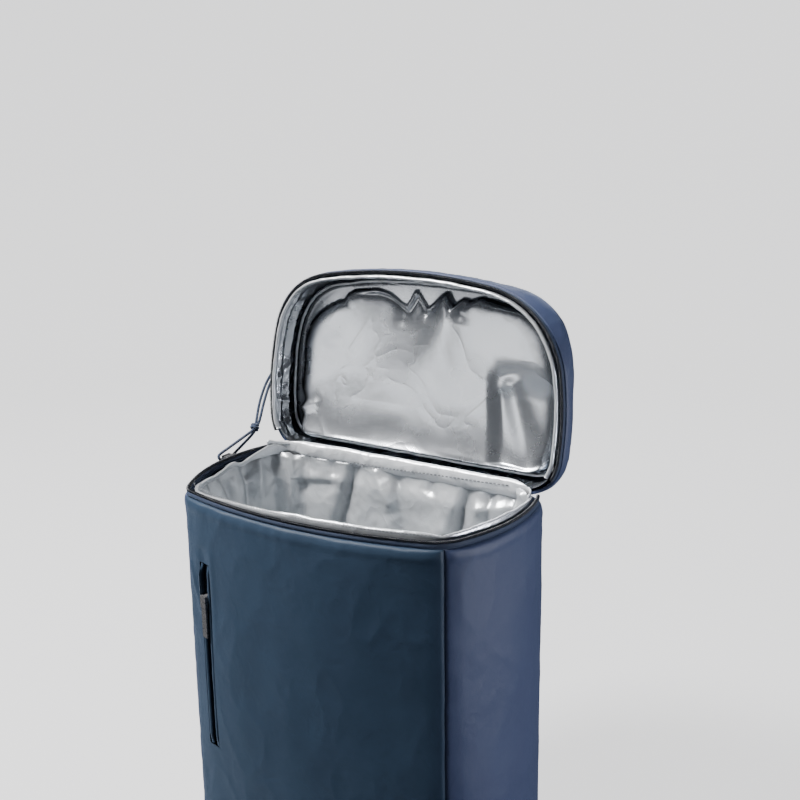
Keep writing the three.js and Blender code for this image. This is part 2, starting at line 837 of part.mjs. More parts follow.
// Silver roll along the lid's zip, and the welt where the lid's lining turns from wall to roof
function lidTrim() {
  const foot = lidLiningFoot - seamGap;
  const besideCoil = -(coilSetBack + coilWidth) - rollThickness / 2;
  const roll = oval(besideCoil, (foot - lidRollOut) / 2, rollThickness, foot + lidRollOut, 8);
  piece("lid_rim_roll", follow(walkZip(lidPlan, lidSteps), () => roll), foil, lid);

  const weltOut = -(lidLiningInset + lidTaper * 0.8 + lidLiningThickness + weltRadius + looseGap);
  const weltUp = lidSeamHeight - looseGap - 2 * weltRadius;
  const welt = oval(weltOut, weltUp, 2 * weltRadius, 2 * weltRadius);
  const stations = walkRound(lidPlan, lidSteps);
  const round = follow(stations, (station) => flared(station, welt), { closedPath: true });
  piece("lid_lining_welt", round, foil, lid);
}

// Strip of lining from the body's rim roll up to the lid
function hingeStrip() {
  const behindRoll = -(liningInset + rollThickness + seamGap);
  const behindLid = -(hingeInset + seamGap);
  const halfLength = backWidth / 2 - backCorner;
  const sections = Array.from({ length: hingeStripSteps + 1 }, (_, i) => {
    const x = mix(-halfLength, halfLength, i / hingeStripSteps);
    const rows = hingeRows.map((row) => ({
      y: row.behind === "roll" ? behindRoll : behindLid,
      rise: hingeStripRise * row.rise - hingeStripDrop * row.drop,
    }));
    const at = (row, y) => new THREE.Vector3(x, y, bodyHeight - hingeDrop + row.rise);
    const rear = rows.map((row) => at(row, row.y));
    const front = rows.map((row) => at(row, row.y - hingeStripThickness));
    return [...rear, ...front.reverse()];
  });
  piece("hinge_strip", loft(sections), foil, body);
}

// Zip pull

// A group whose +X points out of a plan at one of its places
function mountOn(curve, share, height) {
  const { point, normal } = stationAt({ curve }, share, 0);
  const group = new THREE.Group();
  group.position.set(point.x, point.y, height);
  group.rotation.z = Math.atan2(normal.y, normal.x);
  body.add(group);
  return group;
}

function zipSlider() {
  const low = -coilSetBack + seamGap;
  const high = low + sliderThickness;
  const eyeOut = eyeHole + eyeWall;
  const eyeTall = eyeHole + 2 * eyeWall;
  const plate = toManifold(box(sliderThickness, sliderLength, sliderHeight, (low + high) / 2));
  const lump = toManifold(box(eyeOut, eyeLength, eyeTall, high + eyeOut / 2 - seamGap));
  const hole = toManifold(box(eyeHole, sliderLength, eyeHole, high + eyeHole / 2 - seamGap));
  const parent = mountOn(planCurves(bodyPlan).left, sliderShare, bodyHeight - coilHeight - seamGap * 2);
  piece("zip_slider", fromManifold(plate.add(lump.subtract(hole))), sliderMetal, parent);
}

// A round tube along a route chosen by hand
function cordTube(route) {
  const curve = new THREE.CatmullRomCurve3(route.map((point) => new THREE.Vector3(...point)));
  const section = new THREE.Shape();
  for (let i = 0; i < cordSides; i += 1) {
    const turn = (i / cordSides) * 2 * Math.PI;
    const [x, y] = [Math.cos(turn), Math.sin(turn)].map((value) => (value * cordDiameter) / 2);
    section[i === 0 ? "moveTo" : "lineTo"](x, y);
  }
  const steps = Math.max(4, Math.round(curve.getLength() / cordStep));
  return new THREE.ExtrudeGeometry(section, { steps, bevelEnabled: false, extrudePath: curve });
}

function zipCord(parent) {
  piece("zip_cord_strand_front", cordTube(strandFront), cordCloth, parent);
  piece("zip_cord_strand_back", cordTube(strandBack), cordCloth, parent);
  piece("zip_cord_loop", cordTube(loopRoute), cordCloth, parent);
  const knot = new THREE.SphereGeometry(1, knotSides, knotRings);
  const mesh = piece("zip_cord_knot", knot.rotateX(Math.PI / 2), cordCloth, parent);
  mesh.scale.set(knotRadius, knotRadius, knotLength / 2);
  mesh.position.set(...knotMiddle);
  const up = new THREE.Vector3(0, 0, 1);
  mesh.quaternion.setFromUnitVectors(up, new THREE.Vector3(...knotDirection).normalize());
}

// Front pocket

const pocketMiddle = bodyHeight - pocketTopDrop - pocketSlotHeight / 2;

function pocketPlace() {
  const front = planCurves(bodyPlan).front;
  return mountOn(front, 1 - (pocketSlotFromSeam - frontCorner) / front.getLength(), pocketMiddle);
}

function withPocketSlot(panel) {
  const place = pocketPlace();
  place.updateMatrix();
  const cutter = box(4 * wallThickness, pocketSlotWidth, pocketSlotHeight).applyMatrix4(place.matrix);
  return fromManifold(toManifold(panel).subtract(toManifold(cutter)));
}

// Pieces in the slot: +X points out of the wall and +Y to the right as seen from the front
function pocketZip() {
  const place = pocketPlace();
  const inSlot = (length) => length - 2 * seamGap;
  const tapeFace = -pocketTapeDepth;
  const coilFace = tapeFace + seamGap + pocketCoilThickness;
  const lipSize = coilFace - pocketCoilThickness;
  const tape = box(
    pocketTapeThickness,
    inSlot(pocketSlotWidth),
    inSlot(pocketSlotHeight),
    tapeFace - pocketTapeThickness / 2,
  );
  const coil = box(
    pocketCoilThickness,
    pocketCoilWidth,
    inSlot(pocketSlotHeight),
    coilFace - pocketCoilThickness / 2,
  );
  piece("pocket_zip_tape", tape, tapeCloth, place);
  piece("pocket_zip_coil", coil, coilPlastic, place);
  const lipFar = wallSwell + pocketLipRise;
  for (const [name, side] of [
    ["pocket_lip_left", -1],
    ["pocket_lip_right", 1],
  ]) {
    const across = side * (pocketSlotWidth / 2 - seamGap - pocketLipWidth / 2);
    const depth = lipFar - lipSize;
    const lip = box(depth, pocketLipWidth, inSlot(pocketSlotHeight), lipSize + depth / 2, across);
    piece(name, lip, cloth, place);
  }
  const sliderZ = pocketSlotHeight / 2 - pocketSliderDrop;
  const sliderLow = coilFace + seamGap;
  const slider = box(
    pocketSliderThickness,
    pocketSliderWidth,
    pocketSliderLength,
    lipFar + seamGap + pocketSliderThickness / 2,
    0,
    sliderZ,
  );
  const neckDepth = lipFar + seamGap - sliderLow;
  const neckWidth = pocketSlotWidth - 2 * pocketLipWidth - 4 * seamGap;
  const neck = box(neckDepth + seamGap, neckWidth, pocketSliderLength, sliderLow + neckDepth / 2, 0, sliderZ);
  const whole = toManifold(slider).add(toManifold(neck));
  piece("pocket_zip_slider", fromManifold(whole), sliderMetal, place);
  const pullerTop = sliderZ - pocketSliderLength / 2 - seamGap;
  const puller = box(
    pullerThickness,
    pullerWidth,
    pullerLength,
    lipFar + seamGap + pocketSliderThickness / 2,
    0,
    pullerTop - pullerLength / 2,
  );
  piece("pocket_zip_puller", puller, sliderMetal, place);
}

// Carrying parts on the back

// A flat band along a curve, its width lying as near to X as the curve allows
function ribbon(curve, steps, widthAt, thickness, edge) {
  const sections = Array.from({ length: steps + 1 }, (_, i) => {
    const share = i / steps;
    const middle = curve.getPointAt(share);
    const along = curve.getTangentAt(share);
    const side = new THREE.Vector3(1, 0, 0).addScaledVector(along, -along.x).normalize();
    const face = new THREE.Vector3().crossVectors(along, side);
    const [w, t, e] = [widthAt(share) / 2, thickness / 2, edge];
    const outline = [
      [-w, t - e],
      [-w + e, t],
      [w - e, t],
      [w, t - e],
      [w, e - t],
      [w - e, -t],
      [-w + e, -t],
      [-w, e - t],
    ];
    return outline.map(([x, y]) => middle.clone().addScaledVector(side, x).addScaledVector(face, y));
  });
  return loft(sections);
}

const strapTopHeight = bodyHeight - strapTopDrop;
const onBack = wallSwell + seamGap; // face of the back wall, clear of its swell

function strapCurve(side) {
  const points = strapRows.map(
    ({ spread, height, off }) =>
      new THREE.Vector3(
        (side * mix(strapTopSpacing, strapFootSpacing, spread)) / 2,
        onBack + strapThickness / 2 + strapBulge * off,
        mix(strapFootHeight, strapTopHeight, height),
      ),
  );
  return new THREE.CatmullRomCurve3(points);
}

// A frame-shaped buckle with two slots, its length along Z
function adjusterShape() {
  const slotLength = (adjusterLength - 3 * adjusterBar) / 2;
  const slotWidth = adjusterWidth - 2 * adjusterBar;
  const shift = (slotLength + adjusterBar) / 2;
  const plate = toManifold(box(adjusterWidth, adjusterThickness, adjusterLength));
  const upper = toManifold(box(slotWidth, 2 * adjusterThickness, slotLength, 0, 0, shift));
  const lower = toManifold(box(slotWidth, 2 * adjusterThickness, slotLength, 0, 0, -shift));
  return fromManifold(plate.subtract(upper).subtract(lower));
}

function shoulderStrap(label, side) {
  const curve = strapCurve(side);
  const widthAt = (share) => mix(strapWidth, strapFootWidth, smooth(share));
  const strap = ribbon(curve, strapSteps, widthAt, strapThickness, strapEdgeRound);
  piece(`shoulder_strap_${label}`, strap, cloth, body);

  const foot = curve.getPointAt(1);
  const along = curve.getTangentAt(1);
  const adjuster = piece(`strap_adjuster_${label}`, adjusterShape(), coilPlastic, body);
  adjuster.position.copy(foot).addScaledVector(along, seamGap + adjusterLength / 2);
  const widthwise = new THREE.Vector3(1, 0, 0).addScaledVector(along, -along.x).normalize();
  const upward = along.clone().negate();
  const facing = new THREE.Vector3().crossVectors(upward, widthwise);
  adjuster.setRotationFromMatrix(new THREE.Matrix4().makeBasis(widthwise, facing, upward));

  const webStart = foot.clone().addScaledVector(along, 2 * seamGap + adjusterLength);
  const anchorX = side * (backWidth / 2 - anchorFromSide);
  const anchorTop = anchorHeight + anchorLength / 2;
  const webEnd = new THREE.Vector3(anchorX, onBack + webbingThickness / 2 + seamGap, anchorTop + seamGap);
  const reach = webbingHandle * webStart.distanceTo(webEnd);
  const leave = webStart.clone().addScaledVector(along, reach);
  const arrive = webEnd.clone().setZ(webEnd.z + reach);
  const webCurve = new THREE.CubicBezierCurve3(webStart, leave, arrive, webEnd);
  const webbing = ribbon(webCurve, webbingSteps, () => webbingWidth, webbingThickness, webbingEdgeRound);
  piece(`strap_webbing_${label}`, webbing, tapeCloth, body);
  const anchor = box(anchorWidth, anchorThickness, anchorLength);
  piece(`strap_anchor_${label}`, anchor, cloth, body).position.set(
    anchorX,
    onBack + anchorThickness / 2,
    anchorHeight,
  );
}

function yoke() {
  const width = strapTopSpacing + strapWidth + 2 * yokeMargin;
  const strip = piece("strap_yoke", box(width, yokeThickness, yokeHeight), cloth, body);
  strip.position.set(0, onBack + yokeThickness / 2, strapTopHeight + 3 * seamGap + yokeHeight / 2);
}

const backpack = new THREE.Group();
backpack.add(body);
outerWalls();
basePanel();
zipHalf("body", bodyPlan, bodySteps, bodyHeight, -1, body);
rimRoll();
bodyLining();
hingeStrip();
zipHalf("lid", lidPlan, lidSteps, 0, 1, lid);
lidShell();
lidLining();
lidTrim();
zipSlider();
zipCord(backpack);
pocketZip();
yoke();
shoulderStrap("right", 1);
shoulderStrap("left", -1);

export default backpack;
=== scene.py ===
# A cooler backpack with its lid open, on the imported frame.
# Shapes are worked out in millimetres and turned into metres where a mesh is made.
import math

import bpy
import numpy as np
from mathutils import Matrix, Vector


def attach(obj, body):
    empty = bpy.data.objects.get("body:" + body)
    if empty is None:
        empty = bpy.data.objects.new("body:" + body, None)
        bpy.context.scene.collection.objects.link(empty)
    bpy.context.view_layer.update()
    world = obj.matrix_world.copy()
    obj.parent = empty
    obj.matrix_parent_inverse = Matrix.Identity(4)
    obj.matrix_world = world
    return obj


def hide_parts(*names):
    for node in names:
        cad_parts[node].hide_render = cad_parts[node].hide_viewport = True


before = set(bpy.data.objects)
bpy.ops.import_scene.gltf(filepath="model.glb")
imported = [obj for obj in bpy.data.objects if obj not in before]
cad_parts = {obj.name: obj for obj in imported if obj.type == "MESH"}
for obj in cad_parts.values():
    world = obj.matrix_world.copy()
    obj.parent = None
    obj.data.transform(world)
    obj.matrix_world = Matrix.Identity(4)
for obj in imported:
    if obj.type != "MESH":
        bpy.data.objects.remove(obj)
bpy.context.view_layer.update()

metresPerMm = 0.001


# Camera, at the height and side of the photograph

viewSettings = {
    "place": (0.6273, -0.8587, 0.7677),
    "turn": 33.6,  # degrees round from straight in front
    "height": 14.9,  # degrees above the horizon
    "roll": -0.84,
    "lens": 54,  # millimetres on a 36 mm sensor
}


def makeCamera(settings):
    turn = math.radians(settings["turn"])
    height = math.radians(settings["height"])
    roll = math.radians(settings["roll"])
    back = Vector((math.sin(turn) * math.cos(height), -math.cos(turn) * math.cos(height), math.sin(height)))
    level = Vector((math.cos(turn), math.sin(turn), 0))
    upright = level.cross(-back)
    right = math.cos(roll) * level + math.sin(roll) * upright
    up = math.cos(roll) * upright - math.sin(roll) * level
    data = bpy.data.cameras.new("camera")
    data.sensor_width = 36
    data.lens = settings["lens"]
    camera = bpy.data.objects.new("camera", data)
    facing = Matrix((right, up, back)).transposed().to_4x4()
    camera.matrix_world = Matrix.Translation(settings["place"]) @ facing
    bpy.context.scene.collection.objects.link(camera)
    bpy.context.scene.camera = camera


makeCamera(viewSettings)
print("camera made")


# Curves of the plan: each is three points of a quadratic curve, clockwise as seen from above

bodyPlan = {
    "backWidth": 301,
    "frontWidth": 272,
    "sideDepth": 178,
    "frontBow": 23.5,
    "leftBow": 24,
    "rightBow": 21,
    "frontCorner": 9,
    "pushedCorner": 17,  # the soft body's right front corner stands further out and back
    "cornerOut": 10,
    "cornerBack": 9,
    "backCorner": 28,
    "backLine": 0,
}
liningInset = 5.6
liningPlan = {
    **bodyPlan,
    "backWidth": bodyPlan["backWidth"] - 2 * liningInset,
    "frontWidth": bodyPlan["frontWidth"] - 2 * liningInset,
    "sideDepth": bodyPlan["sideDepth"] - 2 * liningInset,
    "frontCorner": 12,
    "pushedCorner": bodyPlan["pushedCorner"] - liningInset / 2,
    "backCorner": 24,
    "backLine": -liningInset,
}
lidPlan = {
    **bodyPlan,
    "backWidth": bodyPlan["backWidth"] + 28,
    "frontWidth": bodyPlan["frontWidth"] + 28,
    "sideDepth": bodyPlan["sideDepth"] + 2.5,
    "frontBow": 19,
    "leftBow": 13.5,
    "rightBow": 13.5,
    "frontCorner": 45,
    "pushedCorner": 60,
    "cornerOut": 0,
    "cornerBack": 0,
    "backCorner": 36,
}
bodyHeight = 400
backLineY = (bodyPlan["sideDepth"] - bodyPlan["cornerBack"] / 2 + bodyPlan["frontBow"]) / 2
loopNames = ["right", "frontRight", "front", "frontLeft", "left", "backLeft", "back", "backRight"]


def curvePoints(curve, share):
    a, b, c = (np.asarray(p, float) for p in curve)
    t = np.asarray(share, float)[..., None]
    return (1 - t) ** 2 * a + 2 * t * (1 - t) * b + t**2 * c


def curveNormals(curve, share):
    a, b, c = (np.asarray(p, float) for p in curve)
    t = np.asarray(share, float)[..., None]
    along = (1 - t) * (b - a) + t * (c - b)
    along /= np.linalg.norm(along, axis=-1, keepdims=True)
    return np.stack([-along[..., 1], along[..., 0]], axis=-1)


def curveLength(curve):
    return float(np.linalg.norm(np.diff(curvePoints(curve, np.linspace(0, 1, 120)), axis=0), axis=1).sum())


def subCurve(curve, start, end):
    a, b, c = (np.asarray(p, float) for p in curve)
    early = a + (b - a) * start
    late = b + (c - b) * start
    ends = curvePoints(curve, np.array([start, end]))
    return (ends[0], early + (late - early) * end, ends[1])


def bowedSide(start, end, bow, startCut, endCut):
    start, end = np.asarray(start, float), np.asarray(end, float)
    along = end - start
    outward = np.array([-along[1], along[0]]) / np.linalg.norm(along)
    whole = (start, (start + end) / 2 + outward * 2 * bow, end)
    length = curveLength(whole)
    return subCurve(whole, startCut / length, 1 - endCut / length)


def planCurves(plan):
    front = plan["backLine"] - plan["sideDepth"]
    backRight = (plan["backWidth"] / 2, plan["backLine"])
    frontRight = (plan["frontWidth"] / 2 + plan["cornerOut"], front + plan["cornerBack"])
    frontLeft = (-plan["frontWidth"] / 2, front)
    backLeft = (-plan["backWidth"] / 2, plan["backLine"])
    cutFront, cutPushed, cutBack = plan["frontCorner"], plan["pushedCorner"], plan["backCorner"]
    right = bowedSide(backRight, frontRight, plan["rightBow"], cutBack, cutPushed)
    face = bowedSide(frontRight, frontLeft, plan["frontBow"], cutPushed, cutFront)
    left = bowedSide(frontLeft, backLeft, plan["leftBow"], cutFront, cutBack)
    back = bowedSide(backLeft, backRight, 0, cutBack, cutBack)
    return {
        "right": right,
        "frontRight": (right[2], np.array(frontRight), face[0]),
        "front": face,
        "frontLeft": (face[2], np.array(frontLeft), left[0]),
        "left": left,
        "backLeft": (left[2], np.array(backLeft), back[0]),
        "back": back,
        "backRight": (back[2], np.array(backRight), right[0]),
    }


# A walk is a row of places along some curves: point, outward direction, name, share and length run
def walkAlong(pieces, spacing, closed=False):
    points, normals, names, shares, run = [], [], [], [], []
    before = 0
    for index, (name, curve) in enumerate(pieces):
        length = curveLength(curve)
        count = max(2, round(length / spacing))
        last = index == len(pieces) - 1 and not closed
        share = np.linspace(0, 1, count + 1) if last else np.linspace(0, 1, count, endpoint=False)
        points.append(curvePoints(curve, share))
        normals.append(curveNormals(curve, share))
        names += [name] * len(share)
        shares.append(share)
        run.append(before + share * length)
        before += length
    return {
        "points": np.concatenate(points),
        "normals": np.concatenate(normals),
        "names": np.array(names),
        "shares": np.concatenate(shares),
        "run": np.concatenate(run),
        "length": before,
    }


def walkRound(plan, spacing):
    curves = planCurves(plan)
    return walkAlong([(name, curves[name]) for name in loopNames], spacing, closed=True)


# The zips go along the sides and the front, and a little way round the back corners
def walkZip(plan, spacing, roundCorner=0.3):
    curves = planCurves(plan)
    first = subCurve(curves["backRight"], 1 - roundCorner, 1)
    last = subCurve(curves["backLeft"], 0, roundCorner)
    names = ["right", "frontRight", "front", "frontLeft", "left"]
    pieces = [("backRight", first), *[(name, curves[name]) for name in names], ("backLeft", last)]
    return walkAlong(pieces, spacing)


# One row of points of a swept surface; out and up are numbers or one value for each place
def rowOf(walk, out, up, toCentre=0.0):
    centre = np.array([0.0, -backLineY])
    place = walk["points"] + walk["normals"] * np.broadcast_to(out, len(walk["points"]))[:, None]
    place = place + (centre - place) * np.broadcast_to(toCentre, len(place))[:, None]
    return np.column_stack([place, np.broadcast_to(up, len(place))])


def onBody(points):
    return points + np.array([0, backLineY, 0])


lidSettings = {
    "hingeInset": 11.9,  # hinge line in front of the back
    "hingeDrop": 8.5,  # hinge line below the zip rim
    "lean": 5.1,  # degrees that the open lid leans back
    "depth": 38,
}


# The lid's points are worked out as if it were closed and face down, then turned up about the hinge
def onLid(points):
    turn = -math.radians(90 + lidSettings["lean"])
    x, y, z = points[..., 0], points[..., 1], points[..., 2]
    turnedY = y * math.cos(turn) - z * math.sin(turn) - lidSettings["hingeInset"] + backLineY
    turnedZ = y * math.sin(turn) + z * math.cos(turn) + bodyHeight - lidSettings["hingeDrop"]
    return np.stack([x, turnedY, turnedZ], axis=-1)


# Helpers for soft forms

def smooth(value):
    value = np.clip(value, 0, 1)
    return value * value * (3 - 2 * value)


noiseRepeat = 97  # units after which the noise repeats


# Even, seeded ups and downs between -1 and 1, one unit of x or y from one to the next
def softNoise(x, y, seed):
    table = np.random.default_rng(seed).uniform(-1, 1, (noiseRepeat, noiseRepeat))
    column, row = np.floor(x).astype(int), np.floor(y).astype(int)
    across, upward = smooth(x - column), smooth(y - row)

    def at(i, j):
        return table[(row + j) % noiseRepeat, (column + i) % noiseRepeat]

    low = at(0, 0) + (at(1, 0) - at(0, 0)) * across
    high = at(0, 1) + (at(1, 1) - at(0, 1)) * across
    return low + (high - low) * upward


def roughNoise(x, y, seed, octaves=3):
    total, size = np.zeros(np.broadcast(x, y).shape), 1.0
    for octave in range(octaves):
        turned = (0.8 * x + 0.6 * y) / size, (0.8 * y - 0.6 * x) / size
        total = total + size * softNoise(*turned, seed + octave)
        size *= 0.5
    return total


# Sharp ridges where the noise changes sign, as in crumpled film
def creases(x, y, seed):
    return 1 - 2 * np.abs(roughNoise(x, y, seed, 2)) ** 0.7


# Height of a table of folds at places (u, v). A fold runs from one place to another with a depth,
# a half width at each end, and a sharpness: 0 is a round fold, 1 a crease. lop makes one side steeper.
def foldField(u, v, folds):
    total = np.zeros(np.broadcast(u, v).shape)
    for fold in folds:
        (startU, startV), (endU, endV) = fold["start"], fold["end"]
        alongU, alongV = endU - startU, endV - startV
        length = math.hypot(alongU, alongV)
        share = ((u - startU) * alongU + (v - startV) * alongV) / length**2
        across = ((u - startU) * alongV - (v - startV) * alongU) / length
        width = fold["width"][0] + (fold["width"][1] - fold["width"][0]) * np.clip(share, 0, 1)
        lop = fold.get("lop", 0)
        width = width * np.where(across > 0, 1 + lop, 1 - lop)
        ease = fold.get("ease", (0.15, 0.4))
        fade = smooth((share + ease[0]) / ease[0]) * smooth((1 + ease[1] - share) / ease[1])
        far = np.abs(across) / width
        sharp = fold.get("sharp", 0.3)
        total = total + fold["depth"] * fade * ((1 - sharp) * np.exp(-(far**2)) + sharp * np.exp(-1.6 * far))
    return total


# Meshes from grids of points. The UV map is in millimetres, so that weaves keep their scale.

def makeObject(name, points, faces, uv, material, thickness=0):
    mesh = bpy.data.meshes.new(name)
    mesh.from_pydata((np.asarray(points) * metresPerMm).tolist(), [], faces)
    if uv is not None:
        layer = mesh.uv_layers.new(name="millimetres")
        layer.data.foreach_set("uv", np.asarray(uv, float).reshape(-1))
    mesh.polygons.foreach_set("use_smooth", [True] * len(mesh.polygons))
    mesh.materials.append(material)
    obj = bpy.data.objects.new(name, mesh)
    bpy.context.scene.collection.objects.link(obj)
    if thickness:
        solidify = obj.modifiers.new("thickness", "SOLIDIFY")
        solidify.thickness = abs(thickness) * metresPerMm
        solidify.offset = -1 if thickness > 0 else 1
        solidify.use_rim = True
    return obj


# Faces and UVs of a grid with rows and columns; keep says which cells stay
def gridFaces(grid, closed=False, closedRows=False, keep=None):
    rows, columns = grid.shape[:2]
    wrapped = np.concatenate([grid, grid[:, :1]], axis=1) if closed else grid
    runs = np.linalg.norm(np.diff(wrapped, axis=1), axis=2).mean(axis=0)
    u = np.concatenate([[0], np.cumsum(runs)])
    tall = np.concatenate([grid, grid[:1]], axis=0) if closedRows else grid
    v = np.concatenate([[0], np.cumsum(np.linalg.norm(np.diff(tall, axis=0), axis=2).mean(axis=1))])
    faces, uv = [], []
    for j in range(rows if closedRows else rows - 1):
        for i in range(columns if closed else columns - 1):
            if keep is not None and not keep[j, i]:
                continue
            nextI, nextJ = (i + 1) % columns, (j + 1) % rows
            faces.append((j * columns + i, nextJ * columns + i, nextJ * columns + nextI, j * columns + nextI))
            uv += [(u[i], v[j]), (u[i], v[j + 1]), (u[i + 1], v[j + 1]), (u[i + 1], v[j])]
    return faces, uv


def gridObject(name, grid, material, closed=False, closedRows=False, keep=None, thickness=0, capEnds=False):
    faces, uv = gridFaces(grid, closed, closedRows, keep)
    rows, columns = grid.shape[:2]
    if capEnds:
        for column, order in [(0, 1), (columns - 1, -1)]:
            ring = [j * columns + column for j in range(rows)][::order]
            faces.append(tuple(ring))
            uv += [(0.0, 0.0)] * rows
    return makeObject(name, grid.reshape(-1, 3), faces, uv, material, thickness)


# A round tube along points, with its ends closed; radius is a number or one value for each point
def tubeParts(points, radius, sides=8, closeEnds=True):
    points = np.asarray(points, float)
    along = np.gradient(points, axis=0)
    along /= np.linalg.norm(along, axis=1, keepdims=True)
    side = np.cross(along[0], [0.0, 0.0, 1.0] if abs(along[0][2]) < 0.9 else [1.0, 0.0, 0.0])
    sideways, ups = [], []
    for direction in along:
        side = side - direction * side.dot(direction)
        side /= np.linalg.norm(side)
        sideways.append(side)
        ups.append(np.cross(direction, side))
    turn = np.arange(sides) / sides * 2 * math.pi
    reach = np.broadcast_to(radius, len(points))
    ring = np.cos(turn)[:, None, None] * np.array(sideways) + np.sin(turn)[:, None, None] * np.array(ups)
    grid = points[None] + ring * reach[None, :, None]
    count = len(points)
    runs = np.concatenate([[0], np.cumsum(np.linalg.norm(np.diff(points, axis=0), axis=1))])
    faces, uv = [], []
    for j in range(sides):
        nextJ = (j + 1) % sides
        low, high = (turnAt * float(np.mean(reach)) for turnAt in (turn[j], turn[j] + 2 * math.pi / sides))
        for i in range(count - 1):
            faces.append((j * count + i, j * count + i + 1, nextJ * count + i + 1, nextJ * count + i))
            uv += [(runs[i], low), (runs[i + 1], low), (runs[i + 1], high), (runs[i], high)]
    if closeEnds:
        for i, order in [(0, 1), (count - 1, -1)]:
            faces.append(tuple([j * count + i for j in range(sides)][::order]))
            uv += [(runs[i], 0.0)] * sides
    return grid.reshape(-1, 3), faces, uv


def tubeObject(name, points, radius, material, sides=8):
    places, faces, uv = tubeParts(points, radius, sides)
    return makeObject(name, places, faces, uv, material)


# Several shapes as one mesh
def joinedObject(name, shapes, material):
    places, faces, uv, offset = [], [], [], 0
    for shapePlaces, shapeFaces, shapeUv in shapes:
        places.append(shapePlaces)
        faces += [tuple(index + offset for index in face) for face in shapeFaces]
        uv += shapeUv
        offset += len(shapePlaces)
    return makeObject(name, np.concatenate(places), faces, uv, material)


# Stitches along a line of points: short round threads that dip into the cloth at both ends
def stitchRow(name, points, material, pitch=4.0, length=2.8, radius=0.32, lift=0.25, outward=None):
    points = np.asarray(points, float)
    runs = np.concatenate([[0], np.cumsum(np.linalg.norm(np.diff(points, axis=0), axis=1))])
    shapes = []
    for start in np.arange(pitch / 2, runs[-1] - length, pitch):
        at = start + np.linspace(0, length, 5)
        line = np.column_stack([np.interp(at, runs, points[:, k]) for k in range(3)])
        raised = lift * np.sin(np.linspace(0, math.pi, 5)) - lift * 0.4
        if outward is not None:
            way = np.column_stack([np.interp(at, runs, outward[:, k]) for k in range(3)])
            line = line + way * raised[:, None]
        shapes.append(tubeParts(line, radius * np.array([0.6, 1, 1, 1, 0.6]), 6))
    return joinedObject(name, shapes, material)


def settle(piece, slotName, *nodes):
    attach(piece, "root")
    if nodes:
        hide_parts(*nodes)
    return piece


# Node helpers: inputs are numbers, colours or sockets; spaces in their names are written as _

def put(tree, kind, options=None, **inputs):
    node = tree.nodes.new(kind)
    for key, value in (options or {}).items():
        setattr(node, key, value)
    for key, value in inputs.items():
        socket = node.inputs[key.replace("_", " ")]
        if isinstance(value, bpy.types.NodeSocket):
            tree.links.new(value, socket)
        else:
            socket.default_value = value
    return node


def calc(tree, operation, first, second=0.0, clamp=False):
    node = put(tree, "ShaderNodeMath", {"operation": operation, "use_clamp": clamp})
    for socket, value in zip(node.inputs, (first, second)):
        if isinstance(value, bpy.types.NodeSocket):
            tree.links.new(value, socket)
        else:
            socket.default_value = value
    return node.outputs[0]


def blendColours(tree, share, first, second):
    node = put(tree, "ShaderNodeMix", {"data_type": "RGBA"}, Factor=share)
    for socket, value in zip((node.inputs[6], node.inputs[7]), (first, second)):
        if isinstance(value, bpy.types.NodeSocket):
            tree.links.new(value, socket)
        else:
            socket.default_value = (*value, 1)
    return node.outputs[2]


def startGroup(name, inputs, outputs):
    group = bpy.data.node_groups.new(name, "ShaderNodeTree")
    for socketName, value in inputs.items():
        socket = group.interface.new_socket(name=socketName, in_out="INPUT", socket_type="NodeSocketFloat")
        socket.default_value = value
    for socketName in outputs:
        group.interface.new_socket(name=socketName, in_out="OUTPUT", socket_type="NodeSocketFloat")
    return group, put(group, "NodeGroupInput").outputs, put(group, "NodeGroupOutput").inputs


def useGroup(tree, group, **inputs):
    return put(tree, "ShaderNodeGroup", {"node_tree": group}, **inputs).outputs


# Plain weave on the millimetre UV map
def makeWeaveGroup():
    group, given, result = startGroup("plainWeave", {"Thread": 0.5, "Slub": 0.3}, ["Height", "Shade"])
    place = put(group, "ShaderNodeSeparateXYZ", Vector=put(group, "ShaderNodeTexCoord").outputs["UV"]).outputs
    waves = []
    for axis in (0, 1):
        turns = calc(group, "MULTIPLY", calc(group, "DIVIDE", place[axis], given["Thread"]), math.pi)
        waves.append(calc(group, "SINE", turns))
    crossing = calc(group, "MULTIPLY", waves[0], waves[1])
    stretched = put(group, "ShaderNodeCombineXYZ", X=calc(group, "MULTIPLY", place[0], 0.06), Y=place[1])
    fibres = put(group, "ShaderNodeTexNoise", Vector=stretched.outputs[0], Scale=1.1, Detail=2.0)
    slubs = fibres.outputs["Fac"]
    bumps = calc(group, "POWER", calc(group, "ABSOLUTE", crossing), 0.6)
    group.links.new(calc(group, "MULTIPLY_ADD", crossing, 0.5), result["Shade"])
    thread = calc(group, "ADD", bumps, calc(group, "MULTIPLY", slubs, given["Slub"]))
    group.links.new(thread, result["Height"])
    return group


# Soft or creased wrinkles in the cloth, Size in millimetres
def makeWrinkleGroup():
    group, given, result = startGroup("wrinkles", {"Size": 20.0, "Sharpness": 0.5}, ["Height"])
    place = put(group, "ShaderNodeTexCoord").outputs["Object"]
    scale = calc(group, "DIVIDE", 1000.0, given["Size"])
    detail = {"Detail": 2.5, "Roughness": 0.45, "Distortion": 0.6}
    soft = put(group, "ShaderNodeTexNoise", Vector=place, Scale=scale, **detail).outputs["Fac"]
    fromMiddle = calc(group, "ABSOLUTE", calc(group, "SUBTRACT", soft, 0.5))
    ridge = calc(group, "SUBTRACT", 1.0, calc(group, "POWER", calc(group, "MULTIPLY", fromMiddle, 2.0), 0.6))
    mixed = put(group, "ShaderNodeMix", {"data_type": "FLOAT"}, Factor=given["Sharpness"], A=soft, B=ridge)
    group.links.new(mixed.outputs[0], result["Height"])
    return group


